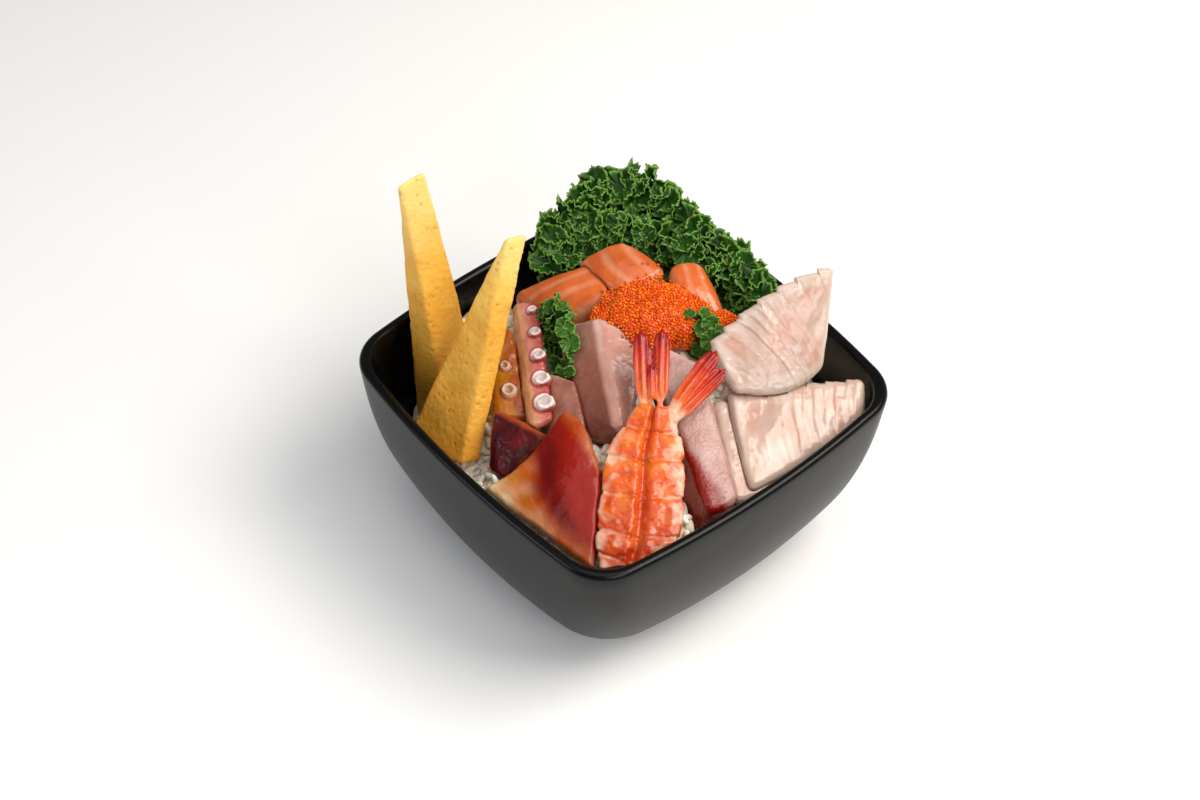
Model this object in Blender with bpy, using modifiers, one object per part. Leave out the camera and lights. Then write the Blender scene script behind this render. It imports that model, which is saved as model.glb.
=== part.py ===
# A chirashi bowl: a square black bowl with rounded corners, filled with a mound of rice,
# two wedges of rolled omelette, sliced raw fish, octopus, surf clam, a butterflied shrimp,
# two heaps of flying fish roe and curly kale.
# Blender 4.5. Lengths in the dictionaries are millimetres and become metres when a mesh is made.
# The bowl stands on z = 0 with its sides along X and Y and its middle at the origin.
import math
import random

import bmesh
import bpy
from mathutils import Matrix, Vector, noise
from mathutils.bvhtree import BVHTree

MM = 0.001
GAP = 0.35            # free space between two pieces that lie against each other
SEED = 7

# The bowl: half widths at the rim and at the bottom of the body, heights and wall.
RIM_HALF = 75.0
BASE_HALF = 40.0
BODY_HEIGHT = 68.0
FOOT_HEIGHT = 3.0
FOOT_HALF = 36.0
FOOT_RING = 5.0
FOOT_RECESS = 1.4
WALL = 4.0
FLOOR_THICK = 5.0
WALL_POWER = 2.446    # the side is a superellipse quarter of this power
RIM_CORNER = 0.24     # corner radius as a share of the half width
BASE_CORNER = 0.40
RIM_BULGE = 0.09      # how far each side bows out, as a share of the half width
BASE_BULGE = 0.14
SIDE_STEPS = 4
CORNER_STEPS = 5
ROOM_STEPS = (3, 4)   # coarser steps where the rice lies against the wall
ROOM_INSET = 0.5
MERGE_FLAT = 1.6      # faces that bend less than this angle are one face after a cut
UNDER_FLAT = 6.0      # hidden undersides are merged where they bend less than this angle
LOST_BY_EXACT = ("rice", "white_lower")   # pieces that the exact solver cuts away whole
INNER_RINGS = 6
OUTER_RINGS = 7
RIM_TOP = FOOT_HEIGHT + BODY_HEIGHT

# The rice: a base level that sinks towards the walls, with mounds and hollows
# (x, y, rise, spread) that carry the toppings and leave two corners of the bowl open.
RICE = {
    "level": 55.0,
    "side_drop": 8.0,
    "corner_drop": 10.0,
    "mounds": [
        (-24, 20, 13, 26), (16, 2, 13, 24), (36, -34, 8, 24), (34, 34, 9, 22),
        (-68, -17, 15, 11), (-60, -60, -24, 24), (60, 64, -16, 18), (-70, 22, -6, 14),
        (-26, -14, -2, 12), (-8, -56, -5, 16),
    ],
    "cell": 8.6,
    "bump": 0.9,
    "grain_length": 6.4,
    "grain_width": 2.5,
    "under": 1.0,         # how far below a topping's underside the rice is laid before the cut
    "bed": 7.0,           # how far a topping may press the rice down
    "reach": 18.0,        # how far the rice rises to carry a topping
    "crest": 75.0,        # the highest that it rises
    "grains": 28,
    "draws": 9000,        # places tried for the grains
    "apart": 5.5,         # least distance between two grains
    "clear": 0.8,         # least distance from a grain's tip to a topping or the bowl
}


def new_collection(name):
    made = bpy.data.collections.new(name)
    bpy.context.scene.collection.children.link(made)
    return made


def make_material(name, colour, roughness):
    made = bpy.data.materials.new(name)
    made.use_nodes = True
    shader = made.node_tree.nodes["Principled BSDF"]
    shader.inputs["Base Color"].default_value = (*colour, 1.0)
    shader.inputs["Roughness"].default_value = roughness
    return made


def add_object(name, bm, material, collection):
    # Scales the millimetre mesh to metres and links it as one named object.
    bmesh.ops.recalc_face_normals(bm, faces=bm.faces)
    bmesh.ops.scale(bm, vec=(MM, MM, MM), verts=bm.verts)
    mesh = bpy.data.meshes.new(name)
    bm.to_mesh(mesh)
    bm.free()
    mesh.materials.append(material)
    made = bpy.data.objects.new(name, mesh)
    collection.objects.link(made)
    return made


def read_mesh(obj):
    bm = bmesh.new()
    bm.from_mesh(obj.data)
    return bm


def volume_of(faces):
    total = 0.0
    for face in faces:
        corners = [v.co for v in face.verts]
        for second, third in zip(corners[1:], corners[2:]):
            total += corners[0].dot(second.cross(third)) / 6.0
    return total


def islands(bm):
    # Groups the faces that hang together.
    seen = set()
    groups = []
    for first in bm.faces:
        if first in seen:
            continue
        seen.add(first)
        group = [first]
        for face in group:
            for edge in face.edges:
                for other in edge.link_faces:
                    if other not in seen:
                        seen.add(other)
                        group.append(other)
        groups.append(group)
    return groups


def keep_largest(obj):
    # A cut can leave loose scraps: only the largest body stays, with its flat places merged.
    bm = read_mesh(obj)
    bmesh.ops.dissolve_limit(bm, angle_limit=math.radians(MERGE_FLAT), verts=bm.verts,
                             edges=bm.edges)
    bmesh.ops.triangulate(bm, faces=bm.faces)
    groups = sorted(islands(bm), key=volume_of)
    scraps = [face for group in groups[:-1] for face in group]
    bmesh.ops.delete(bm, geom=scraps, context="FACES")
    loose = [v for v in bm.verts if not v.link_faces]
    bmesh.ops.delete(bm, geom=loose, context="VERTS")
    bm.to_mesh(obj.data)
    bm.free()


def apply_boolean(obj, cutters, operation, solver="EXACT"):
    # Applies one Boolean with a collection of cutters, then removes the cutters.
    modifier = obj.modifiers.new(operation.lower(), "BOOLEAN")
    modifier.operation = operation
    modifier.operand_type = "COLLECTION"
    modifier.collection = CUTTERS
    modifier.solver = solver
    for cutter in cutters:
        cutter.hide_render = True
        cutter.display_type = "WIRE"
    graph = bpy.context.evaluated_depsgraph_get()
    result = bpy.data.meshes.new_from_object(obj.evaluated_get(graph), depsgraph=graph)
    obj.modifiers.clear()
    result.name = obj.name
    obj.data = result
    for cutter in cutters:
        bpy.data.objects.remove(cutter)


def swollen_copy(obj, gap):
    # A cutter that is the piece grown by the gap on every side.
    bm = read_mesh(obj)
    bmesh.ops.triangulate(bm, faces=bm.faces)
    bm.normal_update()
    moves = [v.normal * gap * MM * min(v.calc_shell_factor(), 2.0) for v in bm.verts]
    for vert, move in zip(bm.verts, moves):
        vert.co += move
    bmesh.ops.scale(bm, vec=(1 / MM, 1 / MM, 1 / MM), verts=bm.verts)
    return add_object("grown_" + obj.name, bm, obj.data.materials[0], CUTTERS)


def box_of(obj):
    points = [v.co for v in obj.data.vertices]
    low = [min(p[axis] for p in points) for axis in range(3)]
    high = [max(p[axis] for p in points) for axis in range(3)]
    return low, high


def boxes_meet(one, other):
    low_a, high_a = box_of(one)
    low_b, high_b = box_of(other)
    return all(low_a[i] < high_b[i] + MM and low_b[i] < high_a[i] + MM for i in range(3))


def carve(obj, neighbours):
    # Cuts a piece back so that it lies against its neighbours.
    solver = "MANIFOLD" if obj.name in LOST_BY_EXACT else "EXACT"
    near = [other for other in neighbours if boxes_meet(obj, other)]
    for other in near:
        apply_boolean(obj, [swollen_copy(other, GAP)], "DIFFERENCE", solver)
    if near:
        keep_largest(obj)


# The bowl

def bowl_section(half, share, steps):
    # One rounded square with bowed sides; share runs from 0 at the base to 1 at the rim.
    side_steps, corner_steps = steps
    corner = BASE_CORNER + (RIM_CORNER - BASE_CORNER) * share
    bulge = BASE_BULGE + (RIM_BULGE - BASE_BULGE) * share
    arc = (1 + bulge ** 2) / (2 * bulge)
    linear = 2 * (arc - 1)
    constant = (arc - 1) ** 2 - (arc - corner) ** 2
    centre = (-linear + math.sqrt(linear * linear - 8 * constant)) / 4
    turn = math.atan2(centre, centre + arc - 1)
    quarter = []
    for step in range(side_steps):
        angle = -turn + 2 * turn * step / side_steps
        quarter.append((-(arc - 1) + arc * math.cos(angle), arc * math.sin(angle)))
    for step in range(corner_steps):
        angle = turn + (math.pi / 2 - 2 * turn) * step / corner_steps
        quarter.append((centre + corner * math.cos(angle), centre + corner * math.sin(angle)))
    points = []
    for side in range(4):
        cosine, sine = ((1, 0), (0, 1), (-1, 0), (0, -1))[side]
        for x, y in quarter:
            points.append((half * (x * cosine - y * sine), half * (x * sine + y * cosine)))
    return points


def wall_point(angle):
    # The outer side at a curve angle from 0 at the base to 90 degrees at the rim.
    share = 1 - math.cos(angle) ** (2 / WALL_POWER)
    half = BASE_HALF + (RIM_HALF - BASE_HALF) * math.sin(angle) ** (2 / WALL_POWER)
    return half, share


def ring(half, z, share, steps=(SIDE_STEPS, CORNER_STEPS)):
    return [(x, y, z) for x, y in bowl_section(half, share, steps)]


def loft(rings):
    # Joins rings of equal length and closes both ends with a flat face.
    bm = bmesh.new()
    rows = [[bm.verts.new(point) for point in points] for points in rings]
    for lower, upper in zip(rows, rows[1:]):
        count = len(lower)
        for i in range(count):
            following = (i + 1) % count
            bm.faces.new((lower[i], lower[following], upper[following], upper[i]))
    bm.faces.new(rows[0])
    bm.faces.new(rows[-1])
    return bm


def inner_rings(inset, top, steps=(SIDE_STEPS, CORNER_STEPS)):
    # The inside of the bowl, from its floor to the given height.
    floor = FOOT_HEIGHT + FLOOR_THICK + inset
    rings = [ring(BASE_HALF - 12, floor, 0, steps)]
    for step in range(1, INNER_RINGS + 1):
        half, share = wall_point(math.radians(90 * step / INNER_RINGS))
        z = floor + (RIM_TOP - 2 - floor) * share
        rings.append(ring(half - WALL - inset, z, share, steps))
    rings.append(ring(RIM_HALF - WALL - inset, top, 1, steps))
    return rings


def build_bowl():
    recess = FOOT_HALF - FOOT_RING
    rings = [ring(recess - 1, FOOT_RECESS, 0), ring(recess, 0, 0), ring(FOOT_HALF, 0, 0)]
    rings.append(ring(FOOT_HALF + 1, FOOT_HEIGHT, 0))
    for step in range(OUTER_RINGS):
        half, share = wall_point(math.radians(90 * step / OUTER_RINGS))
        rings.append(ring(half, FOOT_HEIGHT + BODY_HEIGHT * share, share))
    rings.append(ring(RIM_HALF, RIM_TOP - 2.0, 1))
    for inward, drop in ((0.35, 0.9), (1.1, 0.2), (2.0, 0.0), (3.1, 0.3), (3.8, 1.1)):
        rings.append(ring(RIM_HALF - inward, RIM_TOP - drop, 1))
    rings.extend(reversed(inner_rings(0, RIM_TOP - 2.4)))
    glaze = make_material("black_matte_glaze", (0.018, 0.018, 0.02), 0.42)
    return add_object("bowl", loft(rings), glaze, DISH)


# Slices: a four-cornered face with a depth, its corners eased and its edges rounded

def bilinear(corners, u, v):
    near_left, near_right, far_right, far_left = [Vector(c) for c in corners]
    return (near_left.lerp(near_right, u)).lerp(far_left.lerp(far_right, u), v)


def build_slice(name, spec, material):
    # spec: face (A, B, C, D round the face), depth at A-B and at D-C, cuts along both ways,
    # crown (swelling of the face), ease (rounding of the outline), ripple, bevel.
    corners = spec["face"]
    depth_far, depth_near = [Vector(d) for d in spec["depth"]]
    cuts_u, cuts_v = spec.get("cuts", (5, 6))
    ease = spec.get("ease", 0.25)
    crown = spec.get("crown", 0.8)
    ripple = spec.get("ripple", 0.5)
    across = Vector(corners[1]) - Vector(corners[0])
    along = Vector(corners[3]) - Vector(corners[0])
    normal = across.cross(along).normalized()
    if normal.dot(depth_far) > 0:
        normal.negate()
    shape = spec.get("shape")
    bm = bmesh.new()
    bmesh.ops.create_grid(bm, x_segments=cuts_u, y_segments=cuts_v, size=1.0)
    bmesh.ops.triangulate(bm, faces=bm.faces)
    places = {}
    for vert in bm.verts:
        a, b = vert.co.x, vert.co.y
        eased_a = a * math.sqrt(1 - ease * b * b / 2)
        eased_b = b * math.sqrt(1 - ease * a * a / 2)
        u, v = (eased_a + 1) / 2, (eased_b + 1) / 2
        if shape:
            u, v = shape(u, v)
        places[vert] = (u, v, a, b)
    for vert, (u, v, a, b) in places.items():
        point = bilinear(corners, u, v)
        swell = crown * (1 - a * a) * (1 - b * b)
        wave = noise.noise(point * spec.get("grain", 0.11)) * ripple
        relief = spec["relief"](u, v) if "relief" in spec else 0.0
        vert.co = point + normal * (swell + wave + relief)
    middle = sum((Vector(c) for c in corners), Vector()) / 4
    centre = middle + depth_far.lerp(depth_near, 0.5)
    kept = {tuple(round(c, 4) for c in vert.co): place for vert, place in places.items()}
    under = bmesh.ops.extrude_face_region(bm, geom=bm.faces[:])
    lower = [item for item in under["geom"] if isinstance(item, bmesh.types.BMVert)]
    for vert in lower:
        u, v = kept[tuple(round(c, 4) for c in vert.co)][:2]
        target = bilinear(corners, u, v) + depth_far.lerp(depth_near, v)
        vert.co = centre + (target - centre) * (1 - spec.get("taper", 0.05))
    lowered = set(lower)
    inner_edges = [e for e in bm.edges
                   if all(v in lowered for face in e.link_faces for v in face.verts)]
    bmesh.ops.dissolve_limit(bm, angle_limit=math.radians(UNDER_FLAT), verts=lower,
                             edges=inner_edges)
    bmesh.ops.recalc_face_normals(bm, faces=bm.faces)
    width = spec.get("bevel", 1.0)
    sharp = [e for e in bm.edges if e.is_manifold and e.calc_face_angle(0) > math.radians(42)]
    bmesh.ops.bevel(bm, geom=sharp, offset=width, segments=spec.get("rounding", 1), profile=0.5,
                    affect="EDGES", clamp_overlap=True, material=-1)
    return add_object(name, bm, material, DISH)


OMELETTE = {
    # Tall wedges cut from a block of rolled omelette, thick at the bottom.
    "tamago_rear": {
        "face": [(-74.6, -40.0, 129), (-73.2, -39.0, 129), (-39.5, -46.5, 34), (-58.0, -49.0, 32)],
        "depth": [(0.5, 10.6, 1.5), (-0.5, 17.5, 1.0)],
        "cuts": (2, 8), "ease": 0.0, "crown": 0.0, "ripple": 0.6, "bevel": 0.9, "taper": 0.0,
    },
    "tamago_front": {
        "face": [(-44.8, -16.8, 113), (-43.0, -16.2, 113.5), (-15.5, -60.5, 50.5), (-42.5, -66.5, 43)],
        "depth": [(2.0, 7.4, -1.6), (1.5, 7.4, -1.6)],
        "cuts": (2, 8), "ease": 0.0, "crown": 0.0, "ripple": 0.6, "bevel": 0.8, "taper": 0.0,
    },
}

FISH = {
    "tuna_front": {
        "face": [(1, 9, 83.5), (19, 19.5, 80), (65.5, -1.5, 61), (63.5, -15.5, 62)],
        "depth": [(-3, -2, -13), (-2, -4, -16)],
        "cuts": (4, 7), "crown": 0.8, "ripple": 0.7, "bevel": 1.4,
    },
    "tuna_rear": {
        "face": [(-19, 3.0, 84.5), (-1, 13.5, 77), (30, -5.0, 62), (21.5, -21.5, 72)],
        "depth": [(-18.5, -8.0, -13), (-8, -6, -11)],
        "cuts": (4, 6), "crown": 1.2, "ripple": 0.6, "bevel": 2.0,
    },
    "pale_slice": {
        "face": [(-21, -21, 69), (-8, -14, 71), (17, -27, 63), (4, -36, 61)],
        "depth": [(-2, -2, -7), (-2, -2, -7)],
        "cuts": (4, 5), "crown": 0.6, "ripple": 0.7, "bevel": 1.4,
    },
    "salmon_left": {
        "face": [(-60.5, -4.5, 68), (-43, 25.5, 79), (-21.5, 15.0, 80), (-38, -3.0, 69.5)],
        "depth": [(0, 0, -9), (2, -3, -10)],
        "cuts": (4, 4), "crown": 2.0, "ripple": 0.8, "bevel": 2.0, "ease": 0.35,
    },
    "salmon_middle": {
        "face": [(-50, 17.5, 77), (-40.5, 34.5, 87), (-17, 38.5, 84), (-23, 15.5, 80.5)],
        "depth": [(1, 0, -10), (1, 0, -10)],
        "cuts": (4, 4), "crown": 2.2, "ripple": 0.8, "bevel": 2.0, "ease": 0.45,
    },
    "salmon_right": {
        "face": [(-24.5, 40, 81), (-18.5, 53.5, 81), (4.5, 47.5, 72), (-1.5, 31.5, 75)],
        "depth": [(0, 0, -9), (0, 0, -9)],
        "cuts": (4, 4), "crown": 1.6, "ripple": 0.7, "bevel": 1.8, "ease": 0.4,
    },
    "white_upper": {
        "face": [(18.5, 24, 84), (31, 71.5, 103), (47, 53.5, 75), (35.5, 21.5, 74.5)],
        "depth": [(-3.0, 0.5, -4.0), (-3.5, 0.5, -4.5)],
        "cuts": (8, 4), "crown": 0.6, "ripple": 1.0, "bevel": 1.0, "ease": 0.06,
    },
    "white_lower": {
        "face": [(30, 22, 71.5), (55.5, 67, 68.5), (66.8, 56, 60), (63.8, 3.5, 60)],
        "depth": [(-2.0, 0.5, -6.0), (-2.5, 0.5, -6.0)],
        "cuts": (8, 4), "crown": 1.6, "ripple": 0.9, "bevel": 1.2, "ease": 0.12,
    },
    "white_under": {
        "face": [(27, 18, 69), (42, 32, 66), (66, 14, 56), (63.5, -3, 58.5)],
        "depth": [(-1.5, 0, -5.0), (-1.5, 0, -5.0)],
        "cuts": (3, 4), "crown": 0.5, "ripple": 0.6, "bevel": 1.0,
    },
}


def build_named_slices(table, materials):
    return {name: build_slice(name, spec, materials[name]) for name, spec in table.items()}


def fillet_outline(u, v):
    # The long edges of the upper white slice bow outwards.
    return u, v + (0.17 * v - 0.15 * (1 - v)) * math.sin(math.pi * u)


def clam_outline(u, v):
    # The split tongue is hollow on its left side and full on its right side.
    return (u + 0.10 * (1 - u) * math.sin(math.pi * v),
            v - 0.10 * (1 - v) * math.sin(math.pi * u))


def flakes_across(count, depth):
    # Shallow steps like the flakes of a white fish fillet.
    def relief(u, v):
        return -depth * ((u * count) % 1.0)
    return relief


# Surf clam: the tongue is split and opened, with a raised ridge from its tip

def clam_relief(u, v):
    ridge = max(0.0, 1 - abs(u - 0.62) / 0.45)
    return 3.2 * ridge * (0.35 + 0.65 * v)


CLAM = {
    "clam_main": {
        "face": [(3.2, -29.5, 76), (30.5, -34.5, 69.5), (55, -58.5, 57), (3.0, -66.5, 60)],
        "depth": [(-1, 1, -5.5), (-1, 1.5, -5.5)],
        "cuts": (7, 7), "crown": 0.8, "ripple": 0.5, "bevel": 1.2, "ease": 0.1,
        "relief": clam_relief, "shape": clam_outline,
    },
    "clam_dark": {
        "face": [(-19, -44, 67), (6, -37.5, 67.5), (4.5, -57, 57), (-4.5, -58, 56)],
        "depth": [(-1.5, 4, -4), (-1.5, 4, -4)],
        "cuts": (4, 4), "crown": 1.4, "ripple": 0.5, "bevel": 1.2, "ease": 0.2,
    },
}

# Octopus: two slices with suckers along their right edges

OCTOPUS = {
    "octopus_front": {
        "face": [(-51, -9, 72.5), (-43.5, -2.5, 74), (0.5, -31.0, 67), (-2.5, -39.5, 66)],
        "depth": [(-1, -1, -5.0), (-1, -1, -5.0)],
        "cuts": (3, 8), "crown": 0.8, "ripple": 0.6, "bevel": 1.3, "ease": 0.1,
        "suckers": 5, "along": (0.10, 0.86), "side": 0.74, "radius": (1.8, 3.5),
    },
    "octopus_rear": {
        "face": [(-50, -24, 70), (-42, -15.5, 71), (-9, -34.5, 62), (-18, -43, 61)],
        "depth": [(-1, -1, -6.0), (-1, -1, -6.0)],
        "cuts": (3, 6), "crown": 1.2, "ripple": 0.7, "bevel": 1.3, "ease": 0.15,
        "suckers": 2, "along": (0.46, 0.72), "side": 0.52, "radius": (2.0, 2.8),
    },
}


def build_octopus(name, spec, material):
    body = build_slice(name, spec, material)
    corners = spec["face"]
    across = Vector(corners[1]) - Vector(corners[0])
    along = Vector(corners[3]) - Vector(corners[0])
    normal = across.cross(along).normalized()
    if normal.z < 0:
        normal.negate()
    start, stop = spec["along"]
    small, large = spec["radius"]
    discs = []
    for index in range(spec["suckers"]):
        share = index / max(1, spec["suckers"] - 1)
        centre = bilinear(corners, spec["side"], start + (stop - start) * share) + normal * 1.1
        bm = bmesh.new()
        radius = small + (large - small) * share
        bmesh.ops.create_cone(bm, cap_ends=True, segments=8, radius1=radius * 1.05,
                              radius2=radius * 0.85, depth=2.6)
        crown = [f for f in bm.faces if f.normal.z > 0.9]
        bmesh.ops.inset_region(bm, faces=crown, thickness=radius * 0.45, depth=0)
        bmesh.ops.translate(bm, verts=crown[0].verts[:], vec=(0, 0, -0.5))
        turn = Vector((0, 0, 1)).rotation_difference(normal).to_matrix().to_4x4()
        bmesh.ops.transform(bm, matrix=Matrix.Translation(centre) @ turn, verts=bm.verts)
        discs.append(add_object(f"{name}_sucker_{index}", bm, material, CUTTERS))
    apply_boolean(body, discs, "UNION")
    keep_largest(body)
    return body


# Shrimp: cooked, split along the belly and opened flat, with its tail fans up

SHRIMP = {
    # left and right edge of the body at each station from the neck to the bottom
    "stations": [
        ((22.2, -12.0, 79.5), (29.0, -3.6, 79.5)),
        ((24.5, -21.0, 76.5), (36.0, -6.0, 76.5)),
        ((26.5, -29.5, 73.5), (43.5, -10.0, 73.5)),
        ((34.0, -37.5, 69.5), (51.0, -16.0, 69.5)),
        ((41.2, -45.0, 65.5), (58.8, -23.0, 65.5)),
        ((49.0, -53.0, 61.5), (66.0, -31.0, 61.5)),
        ((55.5, -56.5, 58.0), (66.5, -40.0, 58.0)),
    ],
    "thick": 5.0,
    "segments": 5,
    "step": 1.1,
    "groove": 1.3,
    "across": 8,
    "rows": 3,
    # tail fans: foot, tip, half width, half thickness
    "fans": [
        ((24.5, -11.0, 79.5), (4.8, 3.8, 91.0), 3.6, 1.7),
        ((27.5, -6.5, 80.0), (9.0, 9.8, 91.0), 3.4, 1.7),
        ((31.0, -5.0, 78.5), (27.0, 18.5, 89.0), 3.9, 1.8),
        ((33.5, -5.5, 77.5), (33.0, 17.0, 86.0), 3.1, 1.5),
        ((25.5, -8.5, 80.5), (16.5, -1.5, 87.0), 1.5, 1.1),
    ],
}


def station_edge(stations, share):
    place = share * (len(stations) - 1)
    index = min(int(place), len(stations) - 2)
    part = place - index
    left = Vector(stations[index][0]).lerp(Vector(stations[index + 1][0]), part)
    right = Vector(stations[index][1]).lerp(Vector(stations[index + 1][1]), part)
    return left, right


def build_shrimp(material):
    spec = SHRIMP
    across, rows = spec["across"], spec["rows"] * spec["segments"]
    top, under = [], []
    for row in range(rows + 1):
        share = row / rows
        left, right = station_edge(spec["stations"], share)
        ahead_left, ahead_right = station_edge(spec["stations"], min(1, share + 0.02))
        back_left, back_right = station_edge(spec["stations"], max(0, share - 0.02))
        forward = (ahead_left + ahead_right - back_left - back_right).normalized()
        side = (right - left).normalized()
        normal = side.cross(forward).normalized()
        if normal.z < 0:
            normal.negate()
        phase = (share * spec["segments"]) % 1.0
        width = 1 - 0.05 * phase + 0.03 * math.sin(phase * math.pi)
        for column in range(across + 1):
            a = 2 * column / across - 1
            point = left.lerp(right, 0.5) + (right - left) * (a * width / 2)
            dome = 1.6 * math.sqrt(max(0.0, 1 - a * a * 0.96))
            groove = -spec["groove"] * math.exp(-(a / 0.14) ** 2)
            step = -spec["step"] * phase if 0 < row < rows else 0
            top.append(point + normal * (dome + groove + step))
            under.append(point - normal * (spec["thick"] - 1.2 * a * a) * 0.8)
    bm = bmesh.new()
    upper = [bm.verts.new(p) for p in top]
    lower = [bm.verts.new(p) for p in under]
    wide = across + 1
    for row in range(rows):
        for column in range(across):
            i = row * wide + column
            bm.faces.new((upper[i], upper[i + 1], upper[i + wide + 1], upper[i + wide]))
            bm.faces.new((lower[i], lower[i + wide], lower[i + wide + 1], lower[i + 1]))
    border = [(c, c + 1) for c in range(across)]
    border += [(across + r * wide, across + (r + 1) * wide) for r in range(rows)]
    last = rows * wide
    border += [(last + c + 1, last + c) for c in reversed(range(across))]
    border += [((r + 1) * wide, r * wide) for r in reversed(range(rows))]
    for start, stop in border:
        bm.faces.new((upper[start], upper[stop], lower[stop], lower[start]))
    bmesh.ops.dissolve_limit(bm, angle_limit=math.radians(UNDER_FLAT), verts=lower,
                             edges=[e for e in bm.edges if all(v in lower for v in e.verts)])
    body = add_object("shrimp", bm, material, DISH)
    fans = []
    for index, (foot, tip, half_width, half_thick) in enumerate(spec["fans"]):
        foot, tip = Vector(foot), Vector(tip)
        length = (tip - foot).length
        bm = bmesh.new()
        bmesh.ops.create_uvsphere(bm, u_segments=8, v_segments=6, radius=1.0)
        for vert in bm.verts:
            z = vert.co.z
            blunt = 1 + 0.25 * z
            vert.co = Vector((vert.co.x * half_width * blunt, vert.co.y * half_thick * blunt,
                              z * length * 0.56))
        axis = (tip - foot).normalized()
        side = axis.cross(Vector((0.25, -0.35, 0.9))).normalized()
        facing = axis.cross(side).normalized()
        frame = Matrix((side, facing, axis)).transposed().to_4x4()
        bmesh.ops.transform(bm, matrix=Matrix.Translation((foot + tip) / 2) @ frame, verts=bm.verts)
        fans.append(add_object(f"shrimp_fan_{index}", bm, material, CUTTERS))
    apply_boolean(body, fans, "UNION")
    keep_largest(body)
    return body


# Flying fish roe: domed heaps whose bumps stand for the eggs

ROE = {
    "roe_large": {
        "outline": [(-20, 2), (-28, 14), (-30, 26), (-20, 35), (-8, 40), (3, 40), (7, 32), (4, 20),
                    (2, 10), (-7, 3)],
        "top": 86.5, "edge": 78.0, "bottom": 70.0, "cells": 15,
    },
    "roe_small": {
        "outline": [(3, 34), (3, 41), (7, 45), (12, 45), (14, 39), (12, 33), (7, 31)],
        "top": 79.5, "edge": 77.0, "bottom": 70.0, "cells": 8,
    },
}


def inside_radius(outline, angle):
    # Distance from the outline's middle to its edge in one direction, smoothly joined.
    centre = Vector((sum(p[0] for p in outline), sum(p[1] for p in outline))) / len(outline)
    polar = sorted((math.atan2(p[1] - centre.y, p[0] - centre.x),
                    (Vector(p) - centre).length) for p in outline)
    for (a, r), (b, s) in zip(polar, polar[1:] + [(polar[0][0] + 2 * math.pi, polar[0][1])]):
        for offset in (0.0, 2 * math.pi):
            if a <= angle + offset <= b:
                part = (angle + offset - a) / (b - a)
                part = part * part * (3 - 2 * part)
                return r + (s - r) * part
    return polar[0][1]


def build_roe(name, spec, material):
    outline = spec["outline"]
    centre = Vector((sum(p[0] for p in outline), sum(p[1] for p in outline))) / len(outline)
    generator = random.Random(SEED)
    bm = bmesh.new()
    bmesh.ops.create_grid(bm, x_segments=spec["cells"], y_segments=spec["cells"], size=1.0)
    bmesh.ops.triangulate(bm, faces=bm.faces)
    for vert in bm.verts:
        a, b = vert.co.x, vert.co.y
        x, y = a * math.sqrt(1 - b * b / 2), b * math.sqrt(1 - a * a / 2)
        reach = min(1.0, math.hypot(x, y))
        angle = math.atan2(y, x)
        edge = inside_radius(outline, angle) * (1 + 0.05 * noise.noise(Vector((3 * angle, 0, 0))))
        jitter = 0.45 if reach < 0.97 else 0.0
        px = centre.x + math.cos(angle) * edge * reach + generator.uniform(-jitter, jitter)
        py = centre.y + math.sin(angle) * edge * reach + generator.uniform(-jitter, jitter)
        lump = noise.noise(Vector((px, py, 0)) * 0.14) * 1.6
        bump = generator.uniform(-0.35, 0.55) if reach < 0.97 else 0.0
        z = spec["edge"] + (spec["top"] - spec["edge"]) * (1 - reach ** 2.2) + lump * (1 - reach) + bump
        vert.co = Vector((px, py, z))
    under = bmesh.ops.extrude_face_region(bm, geom=bm.faces[:])
    for item in under["geom"]:
        if isinstance(item, bmesh.types.BMVert):
            item.co.z = spec["bottom"]
    dissolve = [f for f in bm.faces if all(abs(v.co.z - spec["bottom"]) < 1e-4 for v in f.verts)]
    bmesh.ops.dissolve_faces(bm, faces=dissolve)
    return add_object(name, bm, material, DISH)


# Rice: a mound that fills the bowl, cut to lie under every topping

def rice_height(x, y):
    side = max(abs(x), abs(y)) / RIM_HALF
    corner = abs(x * y) / RIM_HALF ** 2
    z = RICE["level"] - RICE["side_drop"] * side ** 2 - RICE["corner_drop"] * corner
    for mound_x, mound_y, rise, spread in RICE["mounds"]:
        z += rise * math.exp(-((x - mound_x) ** 2 + (y - mound_y) ** 2) / spread ** 2)
    return z


def trees_of(pieces):
    trees = []
    for piece in pieces:
        bm = read_mesh(piece)
        trees.append(BVHTree.FromBMesh(bm))
        bm.free()
    return trees


def carried_height(x, y, trees):
    # Under a topping within reach the rice comes up, or sinks, to just below it.
    z = rice_height(x, y)
    unders = []
    for tree in trees:
        hit = tree.ray_cast(Vector((x, y, 0)) * MM, Vector((0, 0, 1)))[0]
        if hit is not None:
            unders.append(hit.z / MM - RICE["under"])
    near = [under for under in unders if z - RICE["bed"] < under < z + RICE["reach"]]
    return min(near + [RICE["crest"]]) if near else None


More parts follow.
